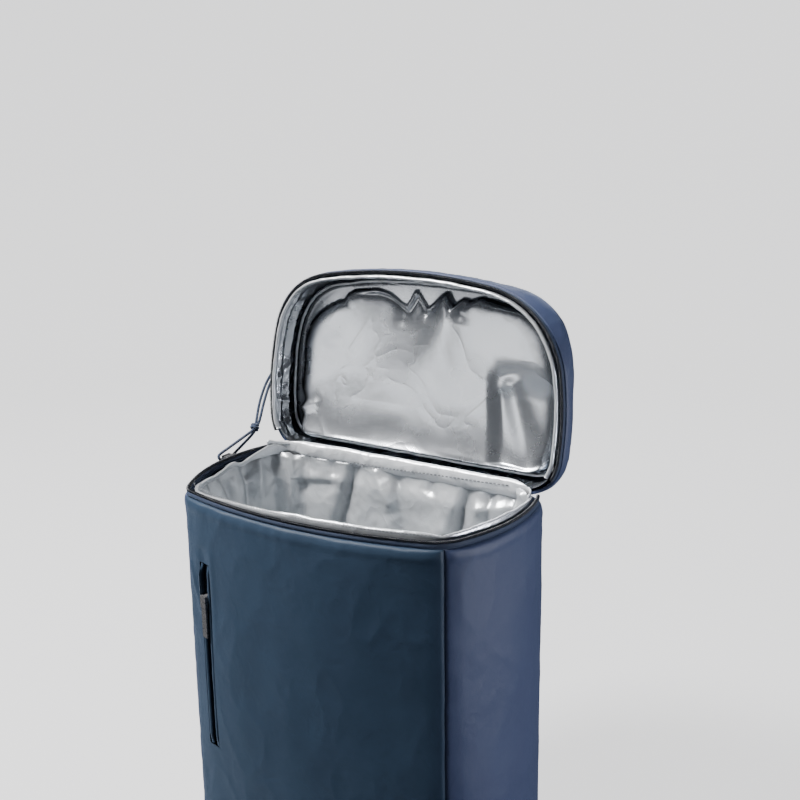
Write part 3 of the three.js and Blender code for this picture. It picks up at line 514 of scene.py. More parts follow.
# Patches of light wear and handling, 0 to 1
def makePatchGroup():
    group, given, result = startGroup("patches", {"Size": 60.0, "Contrast": 1.6}, ["Mask"])
    place = put(group, "ShaderNodeTexCoord").outputs["Object"]
    scale = calc(group, "DIVIDE", 1000.0, given["Size"])
    noise = put(group, "ShaderNodeTexNoise", Vector=place, Scale=scale, Detail=4.0, Roughness=0.55)
    fromMiddle = calc(group, "SUBTRACT", noise.outputs["Fac"], 0.5)
    spread = calc(group, "MULTIPLY", fromMiddle, given["Contrast"])
    group.links.new(calc(group, "ADD", spread, 0.5, clamp=True), result["Mask"])
    return group


# Edges that stand out, where finish rubs off
def makeEdgeGroup():
    group, given, result = startGroup("rubbedEdges", {"Width": 12.0}, ["Mask"])
    pointed = put(group, "ShaderNodeNewGeometry").outputs["Pointiness"]
    above = calc(group, "MULTIPLY", calc(group, "SUBTRACT", pointed, 0.52), given["Width"], clamp=True)
    place = put(group, "ShaderNodeTexCoord").outputs["Object"]
    noise = put(group, "ShaderNodeTexNoise", Vector=place, Scale=700.0, Detail=3.0).outputs["Fac"]
    group.links.new(calc(group, "MULTIPLY", above, noise, clamp=True), result["Mask"])
    return group


# Painted shade: a mask from ambient occlusion that darkens the colour in hollows between folds, where little
# light comes in
def makePaintedShadeGroup():
    group, given, result = startGroup("paintedHollowShade", {"Reach": 20.0, "Shade": 1.0}, ["Open"])
    reach = calc(group, "DIVIDE", given["Reach"], 1000.0)
    unshaded = put(group, "ShaderNodeAmbientOcclusion", {"samples": 6}, Distance=reach).outputs["AO"]
    closed = calc(group, "MULTIPLY", calc(group, "SUBTRACT", 1.0, unshaded), given["Shade"], clamp=True)
    group.links.new(calc(group, "SUBTRACT", 1.0, closed), result["Open"])
    return group


weaveGroup = makeWeaveGroup()
wrinkleGroup = makeWrinkleGroup()
patchGroup = makePatchGroup()
edgeGroup = makeEdgeGroup()
paintedShadeGroup = makePaintedShadeGroup()


def newMaterial(name, **constants):
    material = bpy.data.materials.new(name)
    material.use_nodes = True
    shader = material.node_tree.nodes["Principled BSDF"]
    for key, value in constants.items():
        shader.inputs[key.replace("_", " ")].default_value = value
    return material, material.node_tree, shader


# Roughness that goes from low to high with a mask
def roughen(tree, shader, mask, limits):
    low, high = limits
    rough = calc(tree, "MULTIPLY_ADD", mask, high - low)
    rough.node.inputs[2].default_value = low
    tree.links.new(rough, shader.inputs["Roughness"])


# Bumps laid over each other: pairs of a height and its depth in millimetres
def layBumps(tree, shader, layers):
    normal = None
    for height, depth in layers:
        bump = put(tree, "ShaderNodeBump", Height=height, Distance=depth * metresPerMm)
        if normal is not None:
            tree.links.new(normal, bump.inputs["Normal"])
        normal = bump.outputs["Normal"]
    tree.links.new(normal, shader.inputs["Normal"])


# Woven polyester, webbing, tape and thread differ in their values alone
def clothMaterial(name, values):
    material, tree, shader = newMaterial(
        name,
        Sheen_Weight=values.get("sheen", 0.15),
        Sheen_Roughness=0.4,
        Sheen_Tint=(0.6, 0.75, 1, 1),
        Specular_IOR_Level=values.get("specular", 0.5),
    )
    weave = useGroup(tree, weaveGroup, Thread=values["thread"], Slub=values.get("slub", 0.3))
    patches = useGroup(tree, patchGroup, Size=values.get("patchSize", 70.0), Contrast=1.2)["Mask"]
    wrinkles = useGroup(tree, wrinkleGroup, Size=values.get("wrinkleSize", 24.0), Sharpness=0.35)["Height"]
    threads = calc(tree, "MULTIPLY", weave["Shade"], 0.5)
    share = calc(tree, "ADD", calc(tree, "MULTIPLY", patches, 0.7), threads, clamp=True)
    colour = blendColours(tree, share, values["dark"], values["light"])
    tree.links.new(colour, shader.inputs["Base Color"])
    roughen(tree, shader, patches, values["roughness"])
    layBumps(tree, shader, [(wrinkles, values.get("wrinkleDepth", 0.5)), (weave["Height"], values["depth"])])
    return material


# Silver film with soft dents and fine crumples, its colour darkened in hollows as painted shade
def foilMaterial(name, values):
    material, tree, shader = newMaterial(name, Specular_IOR_Level=0.5)
    dents = useGroup(tree, wrinkleGroup, Size=values["dentSize"], Sharpness=0.55)["Height"]
    crumple = useGroup(tree, wrinkleGroup, Size=values["crumpleSize"], Sharpness=0.8)["Height"]
    patches = useGroup(tree, patchGroup, Size=45.0, Contrast=1.4)["Mask"]
    weave = useGroup(tree, weaveGroup, Thread=0.7, Slub=0.0)
    # painted shade: the film's colour is blended towards a dark colour in hollows
    reach, shade, paintedShade = values["paintedShade"]
    inLight = useGroup(tree, paintedShadeGroup, Reach=reach, Shade=shade)["Open"]
    film = blendColours(tree, patches, values["dark"], values["light"])
    tree.links.new(blendColours(tree, inLight, paintedShade, film), shader.inputs["Base Color"])
    roughen(tree, shader, patches, values["roughness"])
    shader.inputs["Metallic"].default_value = values["metallic"]
    grainDepth = 0.01
    bumps = [(dents, values["dentDepth"]), (crumple, values["crumpleDepth"]), (weave["Height"], grainDepth)]
    layBumps(tree, shader, bumps)
    return material


# Hard parts: enamelled metal, nylon and moulded plastic
def hardMaterial(name, values):
    material, tree, shader = newMaterial(name, Coat_Weight=values.get("coat", 0.0), Coat_Roughness=0.15)
    grain = useGroup(tree, patchGroup, Size=values["grain"], Contrast=2.0)["Mask"]
    edges = useGroup(tree, edgeGroup, Width=14.0)["Mask"]
    tree.links.new(blendColours(tree, edges, values["colour"], values["worn"]), shader.inputs["Base Color"])
    shader.inputs["Metallic"].default_value = values.get("metallic", 0.0)
    roughen(tree, shader, grain, values["roughness"])
    layBumps(tree, shader, [(grain, values["depth"])])
    return material


# Round braid of an elastic cord, on a UV map that runs along and round it
def braidMaterial(name, values):
    material, tree, shader = newMaterial(name, Sheen_Weight=0.3, Sheen_Roughness=0.4)
    place = put(tree, "ShaderNodeSeparateXYZ", Vector=put(tree, "ShaderNodeTexCoord").outputs["UV"]).outputs
    waves = []
    for operation in ("ADD", "SUBTRACT"):
        slanted = calc(tree, operation, calc(tree, "MULTIPLY", place[0], 0.8), place[1])
        waves.append(calc(tree, "SINE", calc(tree, "MULTIPLY", slanted, 2 * math.pi / values["strand"])))
    strands = calc(tree, "ABSOLUTE", calc(tree, "MULTIPLY", waves[0], waves[1]))
    tree.links.new(blendColours(tree, strands, values["dark"], values["light"]), shader.inputs["Base Color"])
    shader.inputs["Roughness"].default_value = 0.6
    layBumps(tree, shader, [(strands, 0.25)])
    return material


navyCloth = clothMaterial("navyCloth", {
    "dark": (0.012, 0.024, 0.044),
    "light": (0.024, 0.045, 0.080),
    "roughness": (0.40, 0.50),
    "specular": 0.25,
    "thread": 0.42,
    "depth": 0.05,
    "wrinkleDepth": 0.55,
    "wrinkleSize": 26.0,
    "sheen": 0.22,
})
sideCloth = clothMaterial("sideCloth", {
    "dark": (0.030, 0.042, 0.095),
    "light": (0.044, 0.060, 0.125),
    "specular": 0.4,
    "roughness": (0.42, 0.52),
    "thread": 0.42,
    "depth": 0.05,
    "wrinkleDepth": 0.5,
    "wrinkleSize": 28.0,
    "sheen": 0.25,
})
tapeCloth = clothMaterial("tapeCloth", {
    "dark": (0.010, 0.017, 0.042),
    "light": (0.026, 0.042, 0.085),
    "roughness": (0.6, 0.75),
    "thread": 0.8,
    "depth": 0.12,
    "wrinkleDepth": 0.1,
})
webbingCloth = clothMaterial("webbingCloth", {
    "dark": (0.010, 0.018, 0.045),
    "light": (0.030, 0.048, 0.095),
    "roughness": (0.55, 0.7),
    "thread": 1.3,
    "depth": 0.22,
    "wrinkleDepth": 0.15,
})
navyThread = clothMaterial("navyThread", {
    "dark": (0.020, 0.035, 0.075),
    "light": (0.045, 0.070, 0.130),
    "roughness": (0.5, 0.6),
    "thread": 0.3,
    "depth": 0.05,
})
greyThread = clothMaterial("greyThread", {
    "dark": (0.10, 0.11, 0.12),
    "light": (0.32, 0.33, 0.35),
    "roughness": (0.5, 0.6),
    "thread": 0.3,
    "depth": 0.05,
})
# grey thread, coloured darker as painted shade of the stitch holes in the hinge seam
threadWithPaintedShade = clothMaterial("threadWithPaintedShade", {
    "dark": (0.05, 0.055, 0.065),
    "light": (0.13, 0.14, 0.16),
    "roughness": (0.5, 0.6),
    "thread": 0.3,
    "depth": 0.05,
})
silverFoil = foilMaterial("silverFoil", {
    "dark": (0.64, 0.67, 0.70),
    "light": (0.76, 0.78, 0.80),
    "roughness": (0.30, 0.42),
    # painted shade in hollows: reach in millimetres, strength and dark colour
    "paintedShade": (30.0, 1.35, (0.10, 0.11, 0.13)),
    "metallic": 0.6,
    "dentSize": 38.0,
    "dentDepth": 1.3,
    "crumpleSize": 12.0,
    "crumpleDepth": 0.22,
})
# the hinge strip's silver film, coloured paler than the lining's film as painted light where it faces the
# light
paintedLightFoil = foilMaterial("paintedLightFoil", {
    "dark": (0.84, 0.87, 0.90),
    "light": (0.94, 0.95, 0.97),
    "roughness": (0.30, 0.40),
    # painted shade in hollows: reach in millimetres, strength and dark colour
    "paintedShade": (8.0, 0.9, (0.16, 0.17, 0.19)),
    "metallic": 0.55,
    "dentSize": 14.0,
    "dentDepth": 0.8,
    "crumpleSize": 6.0,
    "crumpleDepth": 0.2,
})
lidFoil = foilMaterial("lidFoil", {
    "dark": (0.70, 0.73, 0.77),
    "light": (0.80, 0.83, 0.88),
    "roughness": (0.24, 0.30),
    # painted shade in hollows: reach in millimetres, strength and dark colour
    "paintedShade": (32.0, 1.5, (0.06, 0.07, 0.085)),
    "metallic": 0.97,
    "dentSize": 70.0,
    "dentDepth": 1.0,
    "crumpleSize": 16.0,
    "crumpleDepth": 0.06,
})
collarFoil = foilMaterial("collarFoil", {
    "dark": (0.70, 0.73, 0.77),
    "light": (0.88, 0.90, 0.93),
    "roughness": (0.26, 0.36),
    # painted shade in hollows: reach in millimetres, strength and dark colour
    "paintedShade": (6.0, 0.9, (0.14, 0.15, 0.17)),
    "metallic": 0.7,
    "dentSize": 16.0,
    "dentDepth": 0.7,
    "crumpleSize": 6.0,
    "crumpleDepth": 0.12,
})
coilNylon = hardMaterial("coilNylon", {
    "colour": (0.010, 0.012, 0.018),
    "worn": (0.05, 0.05, 0.06),
    "roughness": (0.28, 0.4),
    "grain": 1.5,
    "depth": 0.02,
})
blackEnamel = hardMaterial("blackEnamel", {
    "colour": (0.012, 0.013, 0.016),
    "worn": (0.30, 0.30, 0.31),
    "roughness": (0.22, 0.36),
    "metallic": 0.5,
    "coat": 0.4,
    "grain": 3.0,
    "depth": 0.03,
})
blackPlastic = hardMaterial("blackPlastic", {
    "colour": (0.014, 0.015, 0.018),
    "worn": (0.06, 0.06, 0.065),
    "roughness": (0.38, 0.5),
    "grain": 0.8,
    "depth": 0.04,
})
cordBraid = braidMaterial("cordBraid", {
    "dark": (0.012, 0.024, 0.060),
    "light": (0.050, 0.085, 0.170),
    "strand": 1.1,
})
print("materials made")


# Floor, backdrop and studio light

studioSettings = {
    "floorRadius": 2.2,
    "wallRadius": 3.4,
    "wallHeight": 3.6,
    "paper": (0.26, 0.26, 0.265),
    "glow": 1.45,
    "skyTop": (0.06, 0.063, 0.07),
    "skySide": (0.075, 0.079, 0.09),
    "lamps": [
        # name, place, aim, width, height, watts, colour
        ("keySoftbox", (-0.98, -0.88, 2.15), (0, 0, 0.4), 0.5, 0.5, 150, (1.0, 0.99, 0.98)),
        ("leftCard", (-1.2, -1.85, 0.36), (0, 0, 0.45), 1.3, 0.5, 4.2, (1.0, 1.0, 1.0)),
        ("rightSoftbox", (2.2, 0.5, 0.16), (0, 0, 0.2), 1.3, 0.5, 62, (0.88, 0.91, 1.0)),
        ("backSoftbox", (-0.6, 2.2, 1.7), (0, 0, 0.3), 1.6, 1.2, 14, (1.0, 1.0, 1.0)),
    ],
}


def paperMaterial(settings):
    matt = {"Roughness": 0.85, "Specular_IOR_Level": 0.0, "Emission_Strength": 1.0}
    material, tree, shader = newMaterial("paper", **matt)
    tone = useGroup(tree, patchGroup, Size=900.0, Contrast=0.8)["Mask"]
    paler = settings["paper"]
    darker = tuple(0.97 * value for value in paler)
    colour = blendColours(tree, tone, darker, paler)
    tree.links.new(colour, shader.inputs["Base Color"])
    glow = settings["glow"]
    light = blendColours(tree, tone, (0.97 * glow, 0.97 * glow, 0.98 * glow), (glow, glow, 1.01 * glow))
    tree.links.new(light, shader.inputs["Emission Color"])
    return material


# A round floor that turns up into a round wall, so that it is the same from all sides
def makeBackdrop(settings):
    floor, wall, top = settings["floorRadius"], settings["wallRadius"], settings["wallHeight"]
    bend = wall - floor
    arc = np.linspace(0, math.pi / 2, 14)
    profile = [(0.0, 0.0), *[(floor * share, 0.0) for share in (0.3, 0.6, 0.9)]]
    profile += [(floor + bend * math.sin(a), bend * (1 - math.cos(a))) for a in arc]
    profile.append((wall, top))
    turns = np.linspace(0, 2 * math.pi, 96, endpoint=False)
    rows = [
        np.column_stack([r * np.cos(turns), r * np.sin(turns), np.full(96, z)]) / metresPerMm
        for r, z in profile[1:]
    ]
    paper = paperMaterial(settings)
    wall = gridObject("wall", np.stack(rows[2:]), paper, closed=True)
    floor = gridObject("floor", np.stack([rows[0] * 0.01, *rows[:3]]), paper, closed=True)
    for piece in (floor, wall):
        piece.visible_glossy = False
        piece.visible_diffuse = False


def makeLamps(settings):
    for name, place, aim, width, height, watts, colour in settings["lamps"]:
        lamp = bpy.data.lights.new(name, "AREA")
        lamp.shape = "RECTANGLE"
        lamp.size, lamp.size_y, lamp.energy, lamp.color = width, height, watts, colour
        obj = bpy.data.objects.new(name, lamp)
        facing = (Vector(aim) - Vector(place)).to_track_quat("-Z", "Y")
        obj.matrix_world = Matrix.Translation(place) @ facing.to_matrix().to_4x4()
        bpy.context.scene.collection.objects.link(obj)


def makeSky(settings):
    world = bpy.data.worlds.new("studio")
    world.use_nodes = True
    bpy.context.scene.world = world
    tree = world.node_tree
    place = put(tree, "ShaderNodeTexCoord").outputs["Generated"]
    direction = put(tree, "ShaderNodeSeparateXYZ", Vector=place)
    upward = calc(tree, "ADD", calc(tree, "MULTIPLY", direction.outputs[2], 0.5), 0.5)
    colour = blendColours(tree, upward, settings["skySide"], settings["skyTop"])
    tree.links.new(colour, tree.nodes["Background"].inputs["Color"])


makeBackdrop(studioSettings)
makeLamps(studioSettings)
makeSky(studioSettings)
print("studio made")


# Cord of the zip pull: from the slider's eye to the knot, round the loop and back

cordSettings = {
    "diameter": 3.0,
    "strandFront": [
        (-172.2, 17.2, 396.2), (-173.2, 12.8, 396.8), (-174.6, 13.4, 401),
        (-175.4, 30, 404.6), (-176.7, 68.2, 412.5),
    ],
    "loop": [
        (-179.1, 78.4, 419.8), (-181, 87.4, 438), (-179.8, 96.2, 455), (-177.6, 104, 466),
        (-175.4, 108.4, 469.4), (-173.9, 106.4, 466), (-176.2, 98.6, 455), (-177.2, 89.9, 438),
        (-175.3, 78.4, 419.8),
    ],
    "strandBack": [(-172.3, 30, 396.2), (-173.6, 38, 398.4), (-177.4, 70.2, 409)],
    "knotMiddle": (-177.2, 74.2, 415),
    "knotTurns": 2,
    "knotRadius": 3.6,
}


# A smooth line through points, with extra points between them
def smoothLine(points, steps=8):
    points = np.asarray(points, float)
    padded = np.concatenate([[2 * points[0] - points[1]], points, [2 * points[-1] - points[-2]]])
    out = []
    for i in range(1, len(padded) - 2):
        before, start, end, after = padded[i - 1 : i + 3]
        for share in np.linspace(0, 1, steps, endpoint=False):
            bend = (end - before) * share
            curve = (2 * before - 5 * start + 4 * end - after) * share**2
            twist = (3 * start - before - 3 * end + after) * share**3
            out.append(0.5 * (2 * start + bend + curve + twist))
    out.append(points[-1])
    return np.array(out)


# The knot is two small turns of the cord round its own strands
def knotLine(settings):
    middle = np.array(settings["knotMiddle"])
    along = np.array([0, 0.62, 0.78])
    side = np.array([1.0, 0, 0])
    across = np.cross(along, side)
    turn = np.linspace(0, settings["knotTurns"] * 2 * math.pi, 40)
    reach = settings["knotRadius"] - 0.6 * np.cos(turn / settings["knotTurns"] * 2)
    circle = np.cos(turn)[:, None] * side + np.sin(turn)[:, None] * across * 0.9
    climb = np.linspace(-2.6, 2.6, 40)[:, None] * along
    return middle + circle * reach[:, None] + climb


def makeCord(settings):
    middle = [settings["knotMiddle"]]
    route = [*settings["strandFront"], *middle, *settings["loop"], *middle, *settings["strandBack"][::-1]]
    line = smoothLine(route)
    radius = settings["diameter"] / 2
    cord = tubeObject("zipCord", line, radius, cordBraid, sides=14)
    nodes = [f"zip_cord_{part}" for part in ("strand_front", "strand_back", "loop", "knot")]
    settle(cord, "cord", *nodes)
    knot = tubeObject("zipCordKnot", knotLine(settings), radius * 1.02, cordBraid, sides=14)
    settle(knot, "cord")


makeCord(cordSettings)
print("cord made")


# Padded outer walls

wallSettings = {
    "top": 392.4,
    "topUnderHinge": 390.3,
    "bottom": 0.8,
    "thickness": 5.0,
    "swell": 2.3,
    "swellReach": 30,
    "seamDip": 2.0,
    "seamReach": 4.5,
    "hemRound": 3.0,
    "crest": 1.0,
    "pucker": 0.45,
    "wave": 1.3,
    "crumple": 0.35,
    "spacing": 2.2,
}
pocketSettings = {
    "fromSeam": 31.0,
    "width": 15.0,
    "height": 190.0,
    "topDrop": 66.0,
}


def halfOf(curve, first):
    return subCurve(curve, 0 if first else 0.5, 0.5 if first else 1)


def wallCurves():
    curves = planCurves(bodyPlan)
    return {
        "front": [
            ("corner", halfOf(curves["frontRight"], False)),
            ("front", curves["front"]),
            ("corner", halfOf(curves["frontLeft"], True)),
        ],
        "right": [
            ("backRight", curves["backRight"]),
            ("right", curves["right"]),
            ("corner", halfOf(curves["frontRight"], True)),
        ],
        "left": [
            ("corner", halfOf(curves["frontLeft"], False)),
            ("left", curves["left"]),
            ("backLeft", curves["backLeft"]),
        ],
        "back": [("back", curves["back"])],
    }


# 1 along the lid's hinge, falling to 0 over the first half of each back corner
def hingeShare(walk):
    turning = np.where(walk["names"] == "backLeft", walk["shares"], 0.0)
    turning = np.where(walk["names"] == "backRight", 1 - walk["shares"], turning)
    turning = np.where(walk["names"] == "back", 1.0, turning)
    return smooth(2 * turning)


# Round drop-off over a reach, from 1 at the edge to 0
def roundEdge(distance, reach):
    inside = np.clip(1 - distance / reach, 0, 1)
    return 1 - np.sqrt(np.clip(1 - inside**2, 0, 1))


# How far a padded wall stands out at run u along it and height z
def wallRelief(u, z, length, top, seed, values):
    fromSeam = np.minimum(u, length - u)
    below, above = top - z, z - values["bottom"]
    full = smooth(fromSeam / values["swellReach"]) * smooth((below + 6) / 24) * smooth(above / 26)
    relief = values["swell"] * (0.35 + 0.65 * full)
    relief += values["wave"] * roughNoise(u / 95 + seed, z / 120, seed, 2) * smooth(fromSeam / 30)
    relief += values["crumple"] * creases(u / 34 + 3 * seed, z / 46, seed + 5) * smooth(fromSeam / 16)
    gather = softNoise(u / 7.5, z / 60, seed + 9) * np.exp(-((below / 16) ** 2))
    seamGather = softNoise(u / 40, z / 9, seed + 11) * np.exp(-((fromSeam / 11) ** 2))
    relief += values["pucker"] * (gather + 0.7 * seamGather)
    relief += values["crest"] * np.exp(-(((below - 7) / 5) ** 2)) * smooth(fromSeam / 10)
    relief -= values["seamDip"] * roundEdge(fromSeam, values["seamReach"])
    relief -= values["hemRound"] * roundEdge(above, 6.0)
    relief -= (relief + 0.8) * roundEdge(below, 3.2)
    return relief


# Heights of a wall's rows as shares, closer together at the hem and at the rim
def heightShares(count, breaks, low, high):
    hem, middle, rim = np.linspace(0, 0.02, 6), np.linspace(0.027, 0.95, count), np.linspace(0.954, 1, 16)
    shares = np.concatenate([hem, middle, rim])
    for value in breaks:
        nearest = np.argmin(np.abs(low + shares * (high - low) - value))
        shares[nearest] = (value - low) / (high - low)
    return shares


def makeWall(name, stretches, node, material, slotName, seed, values, slotSpan=None, extraRelief=None):
    walk = walkAlong(stretches, values["spacing"])
    if slotSpan is not None:
        for edge in slotSpan[:2]:
            nearest = int(np.argmin(np.abs(walk["run"] - edge)))
            moved = walkAlong(stretches, 0.25)
            at = int(np.argmin(np.abs(moved["run"] - edge)))
            for key in ("points", "normals", "run"):
                walk[key][nearest] = moved[key][at]
    top = values["top"] + (values["topUnderHinge"] - values["top"]) * hingeShare(walk)
    breaks = slotSpan[2:] if slotSpan is not None else []
    shares = heightShares(120, breaks, values["bottom"], values["top"])
    rows = [rowOf(walk, -values["thickness"], values["bottom"] + 0.3)]
    for share in shares:
        z = values["bottom"] + share * (top - values["bottom"])
        out = wallRelief(walk["run"], z, walk["length"], top, seed, values)
        if extraRelief is not None:
            out = out + extraRelief(walk, z)
        rows.append(rowOf(walk, out, z))
    rows.append(rowOf(walk, -values["thickness"], top - 0.1))
    grid = onBody(np.stack(rows))
    keep = None
    if slotSpan is not None:
        middleU = (walk["run"][1:] + walk["run"][:-1]) / 2
        heights = np.array([row[:, 2].mean() for row in rows])
        middleZ = (heights[1:] + heights[:-1]) / 2
        inside = (middleU > slotSpan[0]) & (middleU < slotSpan[1])
        tall = (middleZ > slotSpan[2]) & (middleZ < slotSpan[3])
        keep = ~(tall[:, None] & inside[None, :])
    wall = gridObject(name, grid, material, keep=keep)
    settle(wall, slotName, node)
    return wall


def slotPlace():
    curves = wallCurves()["front"]
    length = sum(curveLength(curve) for _, curve in curves)
    halfCorner = curveLength(curves[2][1])
    middle = length - halfCorner - (pocketSettings["fromSeam"] - bodyPlan["frontCorner"])
    half = pocketSettings["width"] / 2
    top = bodyHeight - pocketSettings["topDrop"]
    return (middle - half, middle + half, top - pocketSettings["height"], top)


# Folds that the pocket's zip draws in the front
def pocketFolds(walk, z):
    left, right, _, top = slotPlace()
    return foldField(walk["run"], z, [
        {
            "start": (right + 16, top - 8), "end": (right + 3, top - 46),
            "depth": 1.5, "width": (3, 6), "sharp": 0.7,
        },
        {"start": (right + 4, top + 3), "end": (right + 22, top - 60), "depth": 0.9, "width": (6, 12)},
        {"start": (left - 3, top + 8), "end": (left - 3, top - 60), "depth": 1.0, "width": (4, 5)},
        {"start": (left + 8, top + 1), "end": (left + 12, top + 12), "depth": -0.9, "width": (4, 8)},
    ])


def makeWalls(values):
    stretches = wallCurves()
    slot = {"slotSpan": slotPlace(), "extraRelief": pocketFolds}
    makeWall("frontPanel", stretches["front"], "front_panel", navyCloth, "cloth", 3, values, **slot)
    makeWall("rightPanel", stretches["right"], "side_panel_right", sideCloth, "side_cloth", 14, values)
    makeWall("leftPanel", stretches["left"], "side_panel_left", sideCloth, "side_cloth", 27, values)
    makeWall("backPanel", stretches["back"], "back_panel", navyCloth, "cloth", 41, values)


makeWalls(wallSettings)
print("walls made")


# Base: a flat panel with a rounded edge

baseSettings = {"thickness": 6.0, "edge": 1.5}


def makeBase(values):
    walk = walkRound(liningPlan, 5)
    edge = values["edge"]
    profile = [(-40, 0.0), (-edge, 0.0), (-0.4, edge * 0.3), (0, edge)]
    profile += [(0, values["thickness"] - edge), (-edge, values["thickness"]), (-40, values["thickness"])]
    rows = [rowOf(walk, out, up) for out, up in profile]
    rows = [rowOf(walk, -40, 0.0, 1.0), *rows, rowOf(walk, -40, values["thickness"], 1.0)]
    base = gridObject("basePanel", onBody(np.stack(rows)), navyCloth, closed=True)
    settle(base, "cloth", "base_panel")


makeBase(baseSettings)


# Zips round the two rims

zipSettings = {
    "pitch": 1.4,
    "wire": 0.42,
    "coilOut": -2.2,
    "coilWidth": 1.5,
    "coilHeight": 1.15,
    "tapeOut": -0.9,
    "tapeThickness": 1.3,
    "bandHeight": 7.2,
}


# Values of a walk at any length run along it
def alongWalk(walk, runs):
    points = np.column_stack([np.interp(runs, walk["run"], walk["points"][:, k]) for k in (0, 1)])
    normals = np.column_stack([np.interp(runs, walk["run"], walk["normals"][:, k]) for k in (0, 1)])
    normals /= np.linalg.norm(normals, axis=1, keepdims=True)
    return {**walk, "points": points, "normals": normals, "run": runs}


# away is the way from the rim to the cloth: -1 downward on the body, 1 on the lid as it lies closed
def makeZip(prefix, plan, rim, away, place, values):
    walk = walkZip(plan, 2.5, 0.3 if prefix == "lid" else 0.12)
    turns = walk["length"] / values["pitch"]
    angle = np.linspace(0, turns * 2 * math.pi, int(turns * 9))
    ring = alongWalk(walk, angle / (turns * 2 * math.pi) * walk["length"])
    coilUp = rim + away * (values["coilHeight"] + values["wire"])
    helix = rowOf(
        ring,
        values["coilOut"] + values["coilWidth"] * np.cos(angle),
        coilUp + values["coilHeight"] * np.sin(angle),
    )
    shapes = [tubeParts(place(helix), values["wire"], 5)]
    core = place(rowOf(walk, values["coilOut"], coilUp))
    shapes.append(tubeParts(core, 0.85, 8))
    coil = joinedObject(f"{prefix}ZipCoil", shapes, coilNylon)
    settle(coil, "zip_coil", f"{prefix}_zip_coil")

    out, thick = values["tapeOut"], values["tapeThickness"]
    high = rim + away * (2 * (values["coilHeight"] + values["wire"]) - 0.4)
    low = rim + away * (values["bandHeight"] + 0.3)
    ripple = 0.18 * softNoise(walk["run"] / 9, walk["run"] * 0, 7)
    section = [
        (out - 0.4, high), (out - 0.05, high + (low - high) * 0.12), (out, high + (low - high) * 0.5),
        (out - 0.2, low), (out - thick, low), (out - thick, high),
    ]
    rows = [rowOf(walk, outward + ripple, up) for outward, up in section]
    tape = gridObject(f"{prefix}ZipTape", place(np.stack(rows)), tapeCloth, closedRows=True, capEnds=True)
    settle(tape, "zip_tape", f"{prefix}_zip_tape")


makeZip("body", bodyPlan, bodyHeight, -1, onBody, zipSettings)
makeZip("lid", lidPlan, 0, 1, onLid, zipSettings)
print("zips made")


# Silver roll round the body's rim: its top above the zip, as shares of its highest rise

rollSettings = {
    "rise": 5.5,
    "foot": 10.5,
    "least": 4.6,  # least height of the roll
    "thickness": 3.8,
    "underHinge": -9.7,
    "rows": {
        "right": ((0, -0.1), (0.5, 1), (1, 0.65)),
        "frontRight": ((0, 0.65), (0.5, 0.2), (1, 0.8)),
        "front": ((0, 0.8), (0.5, 0.9), (1, -0.4)),
        "frontLeft": ((0, -0.4), (0.5, -0.45), (1, -0.4)),
        "left": (
            (0, -0.4), (0.2, -1.2), (0.37, -1.6), (0.5, -1.3),
            (0.62, -0.8), (0.71, -1.7), (0.9, -0.4), (1, 0.35),
        ),
        "backLeft": ((0, 0.35), (0.35, -0.3), (0.6, -1.7), (1, -1.76)),
    },
}


def rollTop(walk, values):
    top = np.full(len(walk["run"]), values["underHinge"])
    for name, row in values["rows"].items():
        here = walk["names"] == name
        places, heights = zip(*row)
        top[here] = values["rise"] * np.interp(walk["shares"][here], places, heights)
    rightStart = values["rise"] * values["rows"]["right"][0][1]
    here = walk["names"] == "backRight"
    climb = smooth(2 * walk["shares"][here] - 1)
    top[here] = values["underHinge"] + (rightStart - values["underHinge"]) * climb
    kernel = np.hanning(9) / np.hanning(9).sum()
    return np.convolve(np.concatenate([top[-4:], top, top[:4]]), kernel, "valid")


def rollBottom(walk, values):
    return np.minimum(-values["foot"], rollTop(walk, values) - values["least"])


def makeRoll(values):
    walk = walkRound(liningPlan, 1.8)
    run = walk["run"]
    top = bodyHeight + rollTop(walk, values) + 0.5 * softNoise(run / 17, run * 0, 4) - 0.3
    bottom = bodyHeight + rollBottom(walk, values)
    crown = 1.5
    outer, inner = -0.2, -values["thickness"]
    ripple = 0.45 * roughNoise(run / 11, run * 0 + 3, 12)
    sections = [
        (outer - 1.2, bottom, 0), (outer, bottom + 1, 0), (outer - 0.4, bottom * 0.6 + top * 0.4, 0.6),
        (outer - 0.1, bottom * 0.3 + top * 0.7, 1), (outer - 0.1, top - crown, 1),
        (outer - 0.5, top - 0.4, 1), (outer - 1.5, top, 1), (inner + 1.0, top - 0.1, 1),
        (inner + 0.2, top - 0.7, 1), (inner, top - crown, 1), (inner + 0.3, bottom * 0.4 + top * 0.6, 1),
        (inner, bottom + 1, 0.6), (inner + 1, bottom, 0.3),
    ]
    rows = [rowOf(walk, out + share * ripple * 0.6, up) for out, up, share in sections]
    grid = onBody(np.stack(rows))
    dent = creases(grid[..., 0] / 9 + grid[..., 1] / 9, grid[..., 2] / 5, 33) * 0.22
    grid[..., 2] += dent * (grid[..., 2] > 392)
    roll = gridObject("bodyRimRoll", grid, collarFoil, closed=True, closedRows=True)
    settle(roll, "silver_lining", "body_rim_roll")

    seam = walkAlong([(name, planCurves(liningPlan)[name]) for name in loopNames[:5]], 2)
    low = bodyHeight + 2.2 + 0.1 * rollTop(seam, values)
    line = onBody(rowOf(seam, outer + 0.15, low))
    outward = np.column_stack([seam["normals"], np.zeros(len(line))])
    front = np.isin(seam["names"], ["right", "frontRight", "front", "frontLeft"])
    stitches = stitchRow("collarStitches", line[front], greyThread, 3.4, 2.3, 0.24, 0.2, outward[front])
    settle(stitches, "silver_lining")


makeRoll(rollSettings)
print("rim roll made")


# Seam of the body's lining along the hinge, and the strip of film that joins it to the lid

